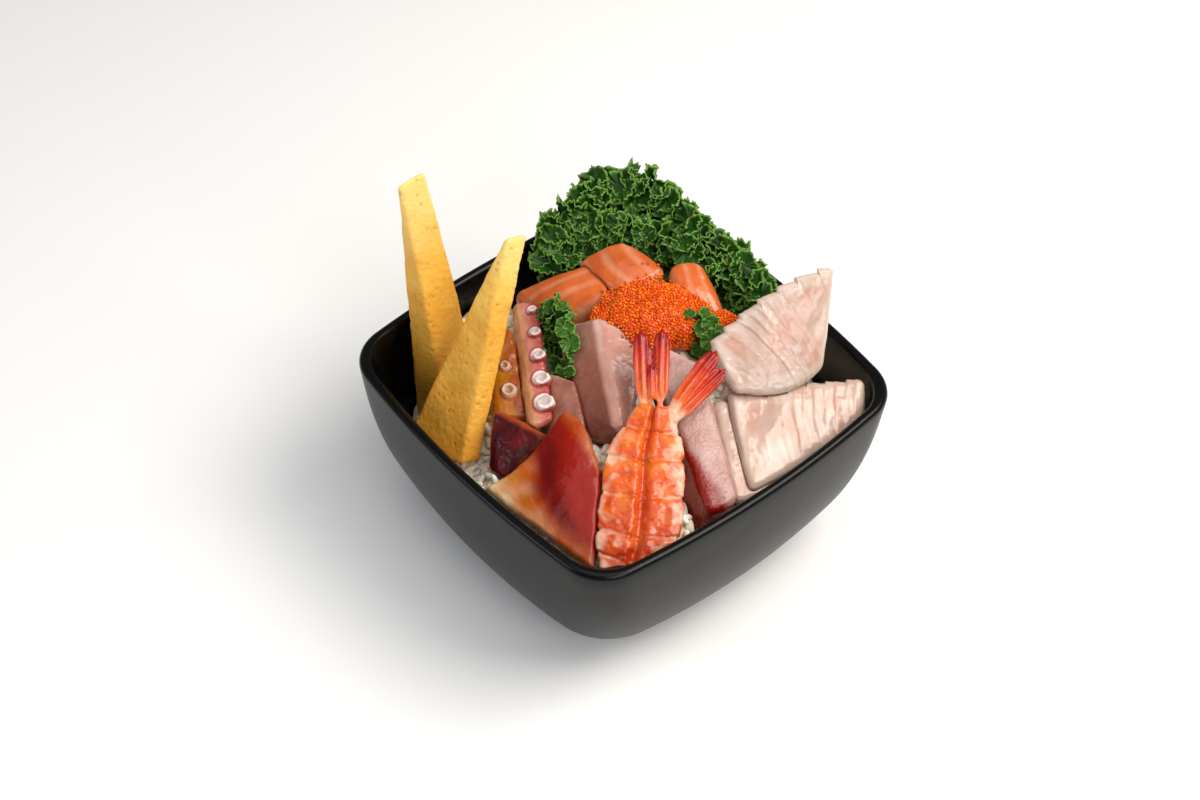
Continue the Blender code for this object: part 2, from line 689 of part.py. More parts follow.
def build_rice_core(material, toppings):
    generator = random.Random(SEED)
    count = int(2 * RIM_HALF / RICE["cell"])
    trees = trees_of(toppings)
    bm = bmesh.new()
    bmesh.ops.create_grid(bm, x_segments=count, y_segments=count, size=RIM_HALF)
    bmesh.ops.triangulate(bm, faces=bm.faces)
    jitter = RICE["cell"] * 0.2
    for vert in bm.verts:
        if max(abs(vert.co.x), abs(vert.co.y)) < RIM_HALF - 1:
            vert.co.x += generator.uniform(-jitter, jitter)
            vert.co.y += generator.uniform(-jitter, jitter)
        carried = carried_height(vert.co.x, vert.co.y, trees)
        bump = generator.uniform(-RICE["bump"], RICE["bump"])
        vert.co.z = rice_height(vert.co.x, vert.co.y) + bump if carried is None else carried
    under = bmesh.ops.extrude_face_region(bm, geom=bm.faces[:])
    for item in under["geom"]:
        if isinstance(item, bmesh.types.BMVert):
            item.co.z = FOOT_HEIGHT + 1
    flat = [f for f in bm.faces if all(abs(v.co.z - FOOT_HEIGHT - 1) < 1e-4 for v in f.verts)]
    bmesh.ops.dissolve_faces(bm, faces=flat)
    rice = add_object("rice", bm, material, DISH)
    room = add_object("inside_of_bowl", loft(inner_rings(ROOM_INSET, RIM_TOP + 20, ROOM_STEPS)),
                      material, CUTTERS)
    apply_boolean(rice, [room], "INTERSECT")
    keep_largest(rice)
    return rice


def add_grains(rice, others):
    # Loose grains on the bare rice; one that would touch a topping or the bowl is skipped.
    generator = random.Random(SEED + 1)
    trees = trees_of(others)
    ground = trees_of([rice])[0]
    length, width = RICE["grain_length"] / 2, RICE["grain_width"] / 2
    grains = []
    centres = []
    for _ in range(RICE["draws"]):
        if len(grains) >= RICE["grains"]:
            break
        x = generator.uniform(-RIM_HALF, RIM_HALF)
        y = generator.uniform(-RIM_HALF, RIM_HALF)
        hit, normal, _, _ = ground.ray_cast(Vector((x, y, 120)) * MM, Vector((0, 0, -1)))
        if hit is None or normal.z < 0.4:
            continue
        if any((hit - centre).length < RICE["apart"] * MM for centre in centres):
            continue
        above = hit + normal * 0.2 * MM
        if any(tree.ray_cast(above, Vector((0, 0, 1)))[0] for tree in trees):
            continue
        if any(tree.find_nearest(hit, (length + RICE["clear"]) * MM)[0] for tree in trees):
            continue
        bm = bmesh.new()
        bmesh.ops.create_icosphere(bm, subdivisions=1, radius=1.0)
        bmesh.ops.scale(bm, vec=(length, width, width), verts=bm.verts)
        turn = Matrix.Rotation(generator.uniform(0, math.tau), 4, "Z")
        tilt = Matrix.Rotation(generator.uniform(-0.35, 0.35), 4, "Y")
        lie = Vector((0, 0, 1)).rotation_difference(normal).to_matrix().to_4x4()
        place = Matrix.Translation(hit / MM + normal * 0.35)
        bmesh.ops.transform(bm, matrix=place @ lie @ turn @ tilt, verts=bm.verts)
        centres.append(hit)
        grains.append(add_object(f"grain_{len(grains)}", bm, rice.data.materials[0], CUTTERS))
    apply_boolean(rice, grains, "UNION", "MANIFOLD")
    keep_largest(rice)


# Kale: ruffled leaves, thin wavy solids whose frill grows towards the outer edge

KALE = {
    "kale_outer": {
        "base": [(-58, 14, 44), (-54, 34, 46), (-44, 46, 48), (-24, 55, 46), (4, 56, 44)],
        "edge": [(-62.5, 14, 68), (-69, 27, 83), (-67, 45, 88.5), (-57, 58, 89), (-35, 61, 86),
                 (-17, 65, 80.5), (2, 66, 73.5), (12, 58, 69)],
        "waves": 17, "ruffle": 3.0, "cuts": (56, 4), "belly": 2.0, "notch": 0.06,
    },
    "kale_inner": {
        "base": [(-51, 21, 52), (-45, 33, 54), (-35, 45, 54), (-20, 53, 50)],
        "edge": [(-58, 18, 71), (-60, 30, 77), (-52, 40, 82), (-36, 50, 82), (-22, 57, 79),
                 (-10, 57, 75)],
        "waves": 10, "ruffle": 2.4, "cuts": (34, 3), "belly": 0.5, "notch": 0.06,
    },
    "kale_small_front": {
        "base": [(-34, -7, 52), (-12, -17, 52)],
        "edge": [(-38, -3.5, 79), (-31, -3, 81), (-20, -8, 77), (-10, -16, 70)],
        "waves": 4, "ruffle": 1.8, "cuts": (15, 3), "belly": 0.5, "notch": 0.06,
    },
    "kale_small_middle": {
        "base": [(2, 24, 68), (14, 28, 66)],
        "edge": [(1, 29, 82), (7, 33, 83), (13, 33, 80), (17, 28, 77)],
        "waves": 3, "ruffle": 1.6, "cuts": (12, 3), "belly": 1.0, "notch": 0.06,
    },
}
LEAF_THICK = 1.0


def arc_point(points, share):
    # A smooth curve through the outer edge's points.
    place = share * (len(points) - 1)
    index = min(int(place), len(points) - 2)
    part = place - index
    p1, p2 = Vector(points[index]), Vector(points[index + 1])
    p0 = Vector(points[index - 1]) if index > 0 else p1 * 2 - p2
    p3 = Vector(points[index + 2]) if index + 2 < len(points) else p2 * 2 - p1
    square, cube = part * part, part ** 3
    return 0.5 * (2 * p1 + (p2 - p0) * part + (2 * p0 - 5 * p1 + 4 * p2 - p3) * square
                  + (3 * p1 - p0 - 3 * p2 + p3) * cube)


def build_leaf(name, spec, material):
    count_u, count_v = spec["cuts"]
    bm = bmesh.new()
    bmesh.ops.create_grid(bm, x_segments=count_u, y_segments=count_v, size=1.0)
    bmesh.ops.triangulate(bm, faces=bm.faces)
    for vert in bm.verts:
        u, v = (vert.co.x + 1) / 2, (vert.co.y + 1) / 2
        base, edge = arc_point(spec["base"], u), arc_point(spec["edge"], u)
        ahead = arc_point(spec["edge"], min(1.0, u + 0.04))
        behind = arc_point(spec["edge"], max(0.0, u - 0.04))
        facing = (ahead - behind).cross(edge - base).normalized()
        notch = spec["notch"] * noise.noise(Vector((u * 3.1 * spec["waves"], 0, 3))) * v
        turn = math.tau * spec["waves"] * u
        ruffle = math.sin(turn) + 0.4 * math.sin(2.3 * turn + 1.0)
        belly = spec["belly"] * math.sin(math.pi * v)
        point = base.lerp(edge, v + notch)
        vert.co = point + facing * (spec["ruffle"] * v ** 1.4 * ruffle + belly)
    made = add_object(name, bm, material, DISH)
    shell = made.modifiers.new("leaf thickness", "SOLIDIFY")
    shell.thickness = LEAF_THICK * MM
    shell.offset = 0.0
    graph = bpy.context.evaluated_depsgraph_get()
    thick = bpy.data.meshes.new_from_object(made.evaluated_get(graph), depsgraph=graph)
    made.modifiers.clear()
    made.data = thick
    return made


# Assembly: what lies on top keeps its shape, and what lies below is cut to meet it

for leftover in list(bpy.data.objects):
    bpy.data.objects.remove(leftover)
DISH = new_collection("chirashi_bowl")
CUTTERS = new_collection("cutters")

omelette = make_material("rolled_omelette", (0.86, 0.53, 0.10), 0.5)
tuna = make_material("pale_tuna", (0.70, 0.42, 0.36), 0.4)
white_fish = make_material("white_fish", (0.75, 0.60, 0.50), 0.35)
salmon = make_material("salmon", (0.80, 0.27, 0.09), 0.35)
clam = make_material("surf_clam", (0.65, 0.09, 0.04), 0.3)
dark_clam = make_material("surf_clam_dark", (0.10, 0.01, 0.02), 0.3)
octopus_skin = make_material("octopus", (0.65, 0.32, 0.26), 0.35)
shrimp_shell = make_material("cooked_shrimp", (0.85, 0.25, 0.07), 0.35)
eggs = make_material("flying_fish_roe", (0.87, 0.17, 0.01), 0.3)
leaf = make_material("kale_leaf", (0.05, 0.16, 0.03), 0.5)
cooked_rice = make_material("cooked_rice", (0.80, 0.80, 0.76), 0.45)

fish_materials = {name: tuna for name in ("tuna_front", "tuna_rear", "pale_slice")}
fish_materials.update({name: salmon for name in ("salmon_left", "salmon_middle", "salmon_right")})
fish_materials.update({name: white_fish for name in ("white_upper", "white_lower", "white_under")})
FISH["white_upper"]["relief"] = flakes_across(7, 0.5)
FISH["white_upper"]["shape"] = fillet_outline
FISH["white_lower"]["relief"] = flakes_across(9, 0.5)

bowl = build_bowl()
pieces = build_named_slices(OMELETTE, {name: omelette for name in OMELETTE})
pieces["shrimp"] = build_shrimp(shrimp_shell)
pieces["clam_main"] = build_slice("clam_main", CLAM["clam_main"], clam)
pieces["clam_dark"] = build_slice("clam_dark", CLAM["clam_dark"], dark_clam)
for octopus_name, octopus_spec in OCTOPUS.items():
    pieces[octopus_name] = build_octopus(octopus_name, octopus_spec, octopus_skin)
pieces.update(build_named_slices(FISH, fish_materials))
for roe_name, roe_spec in ROE.items():
    pieces[roe_name] = build_roe(roe_name, roe_spec, eggs)

settled = [bowl]
for piece in pieces.values():
    carve(piece, settled)
    settled.append(piece)

rice = build_rice_core(cooked_rice, settled[1:])
carve(rice, settled[1:])
settled.append(rice)
for leaf_name, leaf_spec in KALE.items():
    made_leaf = build_leaf(leaf_name, leaf_spec, leaf)
    carve(made_leaf, settled)
    settled.append(made_leaf)
add_grains(rice, [piece for piece in settled if piece is not rice])
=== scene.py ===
import math
import random

import bmesh
import bpy
import numpy as np
from mathutils import Matrix, Quaternion, Vector, noise
from mathutils.bvhtree import BVHTree


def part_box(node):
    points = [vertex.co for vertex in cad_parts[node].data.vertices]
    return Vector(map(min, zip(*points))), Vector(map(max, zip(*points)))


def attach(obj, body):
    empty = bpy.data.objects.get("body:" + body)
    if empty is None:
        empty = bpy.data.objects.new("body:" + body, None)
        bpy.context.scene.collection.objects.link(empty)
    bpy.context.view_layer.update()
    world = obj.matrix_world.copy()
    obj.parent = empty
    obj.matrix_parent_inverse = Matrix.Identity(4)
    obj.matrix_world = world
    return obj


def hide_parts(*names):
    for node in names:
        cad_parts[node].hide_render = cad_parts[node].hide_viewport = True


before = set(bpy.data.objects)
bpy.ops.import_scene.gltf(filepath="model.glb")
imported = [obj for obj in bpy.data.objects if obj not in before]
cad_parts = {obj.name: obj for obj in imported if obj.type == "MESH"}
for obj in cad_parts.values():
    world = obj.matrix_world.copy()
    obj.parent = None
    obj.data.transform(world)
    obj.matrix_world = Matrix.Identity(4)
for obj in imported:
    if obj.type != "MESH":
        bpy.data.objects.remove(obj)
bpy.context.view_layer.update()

# Chirashi bowl: the looks of the black bowl, its rice and every topping.
# Sizes in the dictionaries are millimetres, angles are degrees, colours are sRGB hex values.
mm = 0.001
allNodes = sorted(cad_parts)


# Camera, lights and the pale floor

photoCamera = {
    "azimuth": 49.221, "elevation": 47.145, "roll": 1.036, "distance": 844.4,
    "target": (-10.371, -1.197, 48.0), "lens": 70.0, "sensor": 36.0,
}
lights = {
    # azimuth, elevation, distance, size across, size up, power in watts, colour
    "keySoftbox": (134, 56, 900, 700, 500, 7.4, "#FFF9F0"),
    "sideSoftbox": (74, 40, 1000, 420, 360, 2.0, "#FFFFFF"),
    "fillSoftbox": (-22, 30, 1000, 420, 520, 1.85, "#F2F6FF"),
    "topSoftbox": (40, 86, 800, 600, 600, 1.3, "#FFFFFF"),
}
studio = {
    "floorSize": 6000, "floorColour": "#FCFCFB", "floorRough": 0.9,
    "worldColour": "#FFFFFF", "worldStrength": 0.24,
}


def toLinear(hexColour):
    # sRGB hex to the linear values that shaders take
    shares = [int(hexColour[start:start + 2], 16) / 255 for start in (1, 3, 5)]
    linear = [s / 12.92 if s <= 0.04045 else ((s + 0.055) / 1.055) ** 2.4 for s in shares]
    return (*linear, 1.0)


def addNode(tree, kind, inputs=None, **settings):
    # one shader node, its settings, and its inputs as values or other nodes' outputs
    node = tree.nodes.new("ShaderNode" + kind)
    for name, value in settings.items():
        setattr(node, name, value)
    for name, value in (inputs or {}).items():
        if isinstance(value, bpy.types.NodeSocket):
            tree.links.new(value, node.inputs[name])
        else:
            node.inputs[name].default_value = value
    return node


def linkObject(name, data):
    made = bpy.data.objects.new(name, data)
    bpy.context.scene.collection.objects.link(made)
    return made


def viewDirection(azimuth, elevation):
    # from the object towards the camera or a light; azimuth 0 stands at -Y
    across, up = math.radians(azimuth), math.radians(elevation)
    return Vector((math.sin(across) * math.cos(up), -math.cos(across) * math.cos(up), math.sin(up)))


def makeCamera():
    lens = bpy.data.cameras.new("photoCamera")
    lens.lens = photoCamera["lens"]
    lens.sensor_width = photoCamera["sensor"]
    lens.clip_start = 0.01
    made = linkObject("photoCamera", lens)
    back = viewDirection(photoCamera["azimuth"], photoCamera["elevation"])
    made.location = (Vector(photoCamera["target"]) + back * photoCamera["distance"]) * mm
    made.rotation_mode = "QUATERNION"
    turn = Quaternion((0, 0, 1), math.radians(photoCamera["roll"]))
    made.rotation_quaternion = (-back).to_track_quat("-Z", "Y") @ turn
    bpy.context.scene.camera = made


def makeStudio():
    for name, (azimuth, elevation, distance, across, up, power, colour) in lights.items():
        lamp = bpy.data.lights.new(name, "AREA")
        lamp.shape = "RECTANGLE"
        lamp.size = across * mm
        lamp.size_y = up * mm
        lamp.energy = power
        lamp.color = toLinear(colour)[:3]
        made = linkObject(name, lamp)
        direction = viewDirection(azimuth, elevation)
        made.location = direction * distance * mm
        made.rotation_mode = "QUATERNION"
        made.rotation_quaternion = (-direction).to_track_quat("-Z", "Y")
    bpy.context.scene.view_settings.view_transform = "Standard"    # food colours stay as they are set
    world = bpy.data.worlds.new("studioAir")
    world.use_nodes = True
    air = world.node_tree.nodes["Background"]
    air.inputs["Color"].default_value = toLinear(studio["worldColour"])
    air.inputs["Strength"].default_value = studio["worldStrength"]
    bpy.context.scene.world = world
    sheet = bmesh.new()
    bmesh.ops.create_grid(sheet, x_segments=1, y_segments=1, size=studio["floorSize"] * mm / 2)
    floorMesh = bpy.data.meshes.new("studioFloor")
    sheet.to_mesh(floorMesh)
    sheet.free()
    paper = bpy.data.materials.new("whitePaperRoll")    # matte card: even, no gloss
    paper.use_nodes = True
    shader = paper.node_tree.nodes["Principled BSDF"]
    shader.inputs["Base Color"].default_value = toLinear(studio["floorColour"])
    shader.inputs["Roughness"].default_value = studio["floorRough"]
    floorMesh.materials.append(paper)
    floor = linkObject("studioFloor", floorMesh)


# Shared ways of shaping: a CAD solid made fine and smooth, then given relief along its normals

weldGap = 0.01    # corners of a CAD node that are closer are one
farAway = 99.0    # a distance past everything that is measured


def nodeMesh(nodeName):
    # a CAD node is loose triangles, so a copy of it is merged to one closed mesh
    work = bmesh.new()
    work.from_mesh(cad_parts[nodeName].data)
    bmesh.ops.remove_doubles(work, verts=work.verts, dist=weldGap * mm)
    return work


def linkMesh(pieceName, work):
    mesh = bpy.data.meshes.new(pieceName)
    work.to_mesh(mesh)
    work.free()
    return linkObject(pieceName, mesh)


def applyModifiers(piece):
    graph = bpy.context.evaluated_depsgraph_get()
    fresh = bpy.data.meshes.new_from_object(piece.evaluated_get(graph), depsgraph=graph)
    piece.modifiers.clear()
    piece.data = fresh
    piece.data.name = piece.name


def refine(pieceName, nodeName, settings):
    # closes and evens a node's mesh on a grid, then relaxes it until the facets are gone
    made = linkMesh(pieceName, nodeMesh(nodeName))
    even = made.modifiers.new("even grid", "REMESH")
    even.mode = "VOXEL"
    even.voxel_size = settings["grid"] * mm
    relax = made.modifiers.new("relax", "SMOOTH")
    relax.factor = 0.5
    relax.iterations = settings["rounds"]
    applyModifiers(made)
    return made, *pointsOf(made)


def pointsOf(piece):
    # the points in millimetres and their normals
    points, normals = np.empty((2, len(piece.data.vertices) * 3))
    piece.data.vertices.foreach_get("co", points)
    piece.data.vertex_normals.foreach_get("vector", normals)
    return points.reshape(-1, 3) / mm, normals.reshape(-1, 3)


def movePoints(piece, points):
    piece.data.vertices.foreach_set("co", (points * mm).ravel())
    piece.data.update()


def addMasks(piece, **masks):
    # each mask is a value from 0 to 1 at every point, which the material reads by its name
    for name, values in masks.items():
        layer = piece.data.attributes.new(name, "FLOAT", "POINT")
        layer.data.foreach_set("value", np.clip(values, 0, 1).astype(np.float32))


def fuzz(points, size, shift=0.0):
    # smooth noise from -1 to 1 whose lumps are about the given size
    scaled = points / size + shift
    return np.array([noise.noise(Vector(p)) for p in scaled])


def ramp(values, low, high):
    # 0 below low, 1 above high, smooth between; low may be the larger
    share = np.clip((values - low) / (high - low), 0, 1)
    return share * share * (3 - 2 * share)


def patchPlace(points, corners):
    # where each point lies on a four-cornered face: across and along from 0 to 1, and its height above it
    a, b, c, d = [np.array(corner, float) for corner in corners]
    acrossWay = (b - a + c - d) / 2
    alongWay = (d - a + c - b) / 2
    normal = np.cross(acrossWay, alongWay)
    normal /= np.linalg.norm(normal)
    if normal[2] < 0:
        normal = -normal
    u = np.full(len(points), 0.5)
    v = np.full(len(points), 0.5)

    def spotAt(uu, vv):
        return (1 - vv) * ((1 - uu) * a + uu * b) + vv * ((1 - uu) * d + uu * c)

    for _ in range(6):    # Newton steps
        uu, vv = u[:, None], v[:, None]
        uWay = (1 - vv) * (b - a) + vv * (c - d)
        vWay = (1 - uu) * (d - a) + uu * (c - b)
        miss = points - spotAt(uu, vv)
        uu2 = (uWay * uWay).sum(1)
        vv2 = (vWay * vWay).sum(1)
        uv = (uWay * vWay).sum(1)
        mu = (miss * uWay).sum(1)
        mv = (miss * vWay).sum(1)
        span = np.maximum(uu2 * vv2 - uv * uv, 1e-6)
        u = np.clip(u + (mu * vv2 - mv * uv) / span, -0.6, 1.6)
        v = np.clip(v + (mv * uu2 - mu * uv) / span, -0.6, 1.6)
    return u, v, ((points - spotAt(u[:, None], v[:, None])) * normal).sum(1)


def finishPiece(piece, material, slotName, *nodeNames):
    piece.data.polygons.foreach_set("use_smooth", [True] * len(piece.data.polygons))
    piece.data.update()
    piece.data.materials.clear()
    piece.data.materials.append(material)
    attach(piece, "root")
    if nodeNames:
        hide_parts(*nodeNames)
    print("made", piece.name, len(piece.data.vertices), "points")


def treeOf(*nodeNames):
    # one search tree over several CAD nodes, in metres
    joined = bmesh.new()
    for nodeName in nodeNames:
        joined.from_mesh(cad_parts[nodeName].data)
    tree = BVHTree.FromBMesh(joined)
    joined.free()
    return tree


foodSurface = {"ior": 1.38, "coatRough": 0.12, "evenAbove": 0.9, "unevenness": 0.85}


def foodMaterial(name, look):
    # Moist food: a base colour with soft blotches, coloured masks on top, a grain in gloss and relief.
    # look: base, blotch (colour, size), layers [(mask, colour, strength)], gloss (least, most roughness),
    # grain and cells (size, depth), scatter (weight, radii), specks (colour, size, share), coat and ior
    made = bpy.data.materials.new(name)
    made.use_nodes = True
    tree = made.node_tree
    shader = tree.nodes["Principled BSDF"]
    place = addNode(tree, "TexCoord").outputs["Object"]
    blotchColour, blotchSize = look["blotch"]
    soft = addNode(tree, "TexNoise", {"Vector": place, "Scale": 1 / (blotchSize * mm),
                                      "Detail": 3.0, "Roughness": 0.55})
    spread = addNode(tree, "MapRange", {"Value": soft.outputs["Fac"], "From Min": 0.38, "From Max": 0.64})
    colour = addNode(tree, "Mix", {0: spread.outputs["Result"], 6: toLinear(look["base"]),
                                   7: toLinear(blotchColour)}, data_type="RGBA").outputs[2]
    grainSize, grainDepth = look["grain"]
    grain = addNode(tree, "TexNoise", {"Vector": place, "Scale": 1 / (grainSize * mm),
                                       "Detail": 4.0, "Roughness": 0.6}).outputs["Fac"]
    if "specks" in look:
        speckColour, speckSize, speckShare = look["specks"]
        dots = addNode(tree, "TexVoronoi", {"Vector": place, "Scale": 1 / (speckSize * mm)})
        near = addNode(tree, "MapRange", {"Value": dots.outputs["Distance"], "From Min": 0.10,
                                          "From Max": 0.28, "To Min": speckShare, "To Max": 0.0})
        colour = addNode(tree, "Mix", {0: near.outputs["Result"], 6: colour,
                                       7: toLinear(speckColour)}, data_type="RGBA").outputs[2]
    for maskName, maskColour, strength in look["layers"]:
        mask = addNode(tree, "Attribute", attribute_name=maskName)
        # the grain lets some of the base through, but not where the layer is strong
        least = strength * (1.0 if strength > foodSurface["evenAbove"] else foodSurface["unevenness"])
        wander = addNode(tree, "MapRange", {"Value": grain, "From Min": 0.3, "From Max": 0.7,
                                            "To Min": least, "To Max": strength * 1.1})
        amount = addNode(tree, "Math", {0: mask.outputs["Fac"], 1: wander.outputs["Result"]},
                         operation="MULTIPLY", use_clamp=True)
        colour = addNode(tree, "Mix", {0: amount.outputs[0], 6: colour,
                                       7: toLinear(maskColour)}, data_type="RGBA").outputs[2]
    tree.links.new(colour, shader.inputs["Base Color"])
    low, high = look["gloss"]
    rough = addNode(tree, "MapRange", {"Value": grain, "From Min": 0.3, "From Max": 0.7,
                                       "To Min": low, "To Max": high})
    tree.links.new(rough.outputs["Result"], shader.inputs["Roughness"])
    bump = addNode(tree, "Bump", {"Height": grain, "Distance": grainDepth * mm, "Strength": 1.0})
    if "cells" in look:
        cellSize, cellDepth = look["cells"]
        cells = addNode(tree, "TexVoronoi", {"Vector": place, "Scale": 1 / (cellSize * mm)},
                        feature="SMOOTH_F1")
        bump = addNode(tree, "Bump", {"Height": cells.outputs["Distance"], "Normal": bump.outputs["Normal"],
                                      "Distance": cellDepth * mm, "Strength": 1.0})
    tree.links.new(bump.outputs["Normal"], shader.inputs["Normal"])
    weight, radii = look["scatter"]
    shader.inputs["Subsurface Weight"].default_value = weight
    shader.inputs["Subsurface Radius"].default_value = radii
    shader.inputs["Subsurface Scale"].default_value = mm
    shader.inputs["IOR"].default_value = look.get("ior", foodSurface["ior"])
    shader.inputs["Coat Weight"].default_value = look.get("coat", 0.0)
    shader.inputs["Coat Roughness"].default_value = foodSurface["coatRough"]
    return made


# Bowl: a superellipse side on a rounded square, with a rounded rim and a foot ring

bowlShape = {
    "rimHalf": 75.0, "baseHalf": 40.0, "bodyHeight": 68.0, "footHeight": 3.0, "footHalf": 36.0,
    "footRing": 5.0, "footRecess": 1.4, "wall": 4.0, "floorThick": 5.0, "sidePower": 2.446,
    "rimCorner": 0.24, "baseCorner": 0.40, "rimBulge": 0.09, "baseBulge": 0.14,
    "sideSteps": 16, "cornerSteps": 16, "outerRings": 22, "innerRings": 18,
    # the rim's rounding: how far in from the edge, how far below the top
    "rimRound": [(0.0, 2.0), (0.1, 1.4), (0.35, 0.85), (0.8, 0.35), (1.4, 0.08), (2.0, 0.0),
                 (2.6, 0.08), (3.2, 0.35), (3.65, 0.85), (3.9, 1.5)],
}


def bowlSection(half, share):
    # a rounded square with bowed sides; share runs from 0 at the base to 1 at the rim
    corner = bowlShape["baseCorner"] + (bowlShape["rimCorner"] - bowlShape["baseCorner"]) * share
    bulge = bowlShape["baseBulge"] + (bowlShape["rimBulge"] - bowlShape["baseBulge"]) * share
    arc = (1 + bulge ** 2) / (2 * bulge)
    linear = 2 * (arc - 1)
    constant = (arc - 1) ** 2 - (arc - corner) ** 2
    centre = (-linear + math.sqrt(linear * linear - 8 * constant)) / 4
    turn = math.atan2(centre, centre + arc - 1)
    quarter = []
    for step in range(bowlShape["sideSteps"]):
        angle = -turn + 2 * turn * step / bowlShape["sideSteps"]
        quarter.append((-(arc - 1) + arc * math.cos(angle), arc * math.sin(angle)))
    for step in range(bowlShape["cornerSteps"]):
        angle = turn + (math.pi / 2 - 2 * turn) * step / bowlShape["cornerSteps"]
        quarter.append((centre + corner * math.cos(angle), centre + corner * math.sin(angle)))
    sides = ((1, 0), (0, 1), (-1, 0), (0, -1))
    return [(half * (x * cosine - y * sine), half * (x * sine + y * cosine))
            for cosine, sine in sides for x, y in quarter]


def bowlSide(angle):
    share = 1 - math.cos(angle) ** (2 / bowlShape["sidePower"])
    reach = bowlShape["rimHalf"] - bowlShape["baseHalf"]
    return bowlShape["baseHalf"] + reach * math.sin(angle) ** (2 / bowlShape["sidePower"]), share


def bowlRings():
    # half width, height and share of every ring, from the foot's recess round the rim to the floor
    s = bowlShape
    rimTop = s["footHeight"] + s["bodyHeight"]
    recess = s["footHalf"] - s["footRing"]
    rings = [(recess - 1.4, s["footRecess"], 0), (recess - 0.5, s["footRecess"] * 0.6, 0),
             (recess, 0.15, 0), (recess + 0.3, 0, 0), (s["footHalf"] - 0.4, 0, 0), (s["footHalf"], 0.3, 0),
             (s["footHalf"] + 0.7, s["footHeight"] - 0.6, 0), (s["footHalf"] + 1.3, s["footHeight"], 0)]
    for step in range(s["outerRings"] + 1):
        half, share = bowlSide(math.pi / 2 * step / s["outerRings"])
        z = s["footHeight"] + s["bodyHeight"] * share
        if z < rimTop - 2.2:
            rings.append((half, z, share))
    rings += [(s["rimHalf"] - inward, rimTop - drop, 1) for inward, drop in s["rimRound"]]
    floor = s["footHeight"] + s["floorThick"]
    for step in reversed(range(s["innerRings"] + 1)):
        half, share = bowlSide(math.pi / 2 * step / s["innerRings"])
        z = floor + (rimTop - 2 - floor) * share
        if z < rimTop - 2.6:
            rings.append((half - s["wall"], z, share))
    rings.append((s["baseHalf"] - 12, floor, 0))
    return rings


def makeBowl():
    work = bmesh.new()
    count = 4 * (bowlShape["sideSteps"] + bowlShape["cornerSteps"])
    previous = None
    for half, z, share in bowlRings():
        loop = bmesh.ops.create_circle(work, segments=count, radius=1.0)["verts"]
        for vert, (x, y) in zip(loop, bowlSection(half, share)):
            vert.co = Vector((x, y, z)) * mm
        edges = list({edge for vert in loop for edge in vert.link_edges})
        if previous is None:
            bmesh.ops.contextual_create(work, geom=edges)
        else:
            bmesh.ops.bridge_loops(work, edges=previous + edges)
        previous = edges
    bmesh.ops.contextual_create(work, geom=previous)
    bmesh.ops.recalc_face_normals(work, faces=work.faces)
    bowl = linkMesh("blackBowl", work)
    points, normals = pointsOf(bowl)
    outward = (points[:, :2] * normals[:, :2]).sum(1) / np.maximum(np.hypot(points[:, 0], points[:, 1]), 1)
    # inside and on the rim: glossier glaze, and a darker colour that is partly painted shade
    inside = ramp(outward, 0.15, -0.1) * (points[:, 2] > 6)
    rim = ramp(points[:, 2], 67.8, 69.8)
    addMasks(bowl, glossyGlaze=np.maximum(inside, rim))
    finishPiece(bowl, bowlGlaze(), "bowl_glaze", "bowl")


bowlLook = {
    # the inside colour: partly the glossier black glaze, partly painted shade of the bowl's inside
    "outside": "#0E0E0E", "inside": "#040404", "matteRough": 0.36, "glossRough": 0.24,
    "grit": 0.9, "gritDepth": 0.035, "wave": 22.0, "waveDepth": 0.25, "ior": 1.3,
}


def bowlGlaze():
    # Stoneware with a black glaze: fine matte grit outside, smoother and darker inside and on the rim; the
    # darker colour is partly the glossier glaze, partly painted shade
    made = bpy.data.materials.new("blackStonewareGlaze")
    made.use_nodes = True
    tree = made.node_tree
    shader = tree.nodes["Principled BSDF"]
    place = addNode(tree, "TexCoord").outputs["Object"]
    gloss = addNode(tree, "Attribute", attribute_name="glossyGlaze").outputs["Fac"]
    gritScale, waveScale = 1 / (bowlLook["grit"] * mm), 1 / (bowlLook["wave"] * mm)
    grit = addNode(tree, "TexNoise", {"Vector": place, "Scale": gritScale, "Detail": 3.0}).outputs["Fac"]
    colour = addNode(tree, "Mix", {0: gloss, 6: toLinear(bowlLook["outside"]),
                                   7: toLinear(bowlLook["inside"])}, data_type="RGBA").outputs[2]
    mottle = addNode(tree, "MapRange", {"Value": grit, "From Min": 0.3, "From Max": 0.7,
                                        "To Min": 0.85, "To Max": 1.15})
    shaded = addNode(tree, "Mix", {0: 1.0, 6: colour, 7: mottle.outputs["Result"]}, data_type="RGBA",
                     blend_type="MULTIPLY").outputs[2]
    tree.links.new(shaded, shader.inputs["Base Color"])
    rough = addNode(tree, "MapRange", {"Value": gloss, "To Min": bowlLook["matteRough"],
                                       "To Max": bowlLook["glossRough"]}).outputs["Result"]
    worn = addNode(tree, "MapRange", {"Value": grit, "To Min": -0.06, "To Max": 0.06})
    total = addNode(tree, "Math", {0: rough, 1: worn.outputs["Result"]}, operation="ADD")
    tree.links.new(total.outputs[0], shader.inputs["Roughness"])
    waves = addNode(tree, "TexNoise", {"Vector": place, "Scale": waveScale, "Detail": 1.0})
    slow = addNode(tree, "Bump", {"Height": waves.outputs["Fac"], "Distance": bowlLook["waveDepth"] * mm})
    fine = addNode(tree, "Bump", {"Height": grit, "Distance": bowlLook["gritDepth"] * mm,
                                  "Normal": slow.outputs["Normal"]})
    tree.links.new(fine.outputs["Normal"], shader.inputs["Normal"])
    shader.inputs["IOR"].default_value = bowlLook["ior"]
    return made


makeCamera()
makeStudio()
makeBowl()


# Rolled omelette: two tall wedges with pores along the cut faces

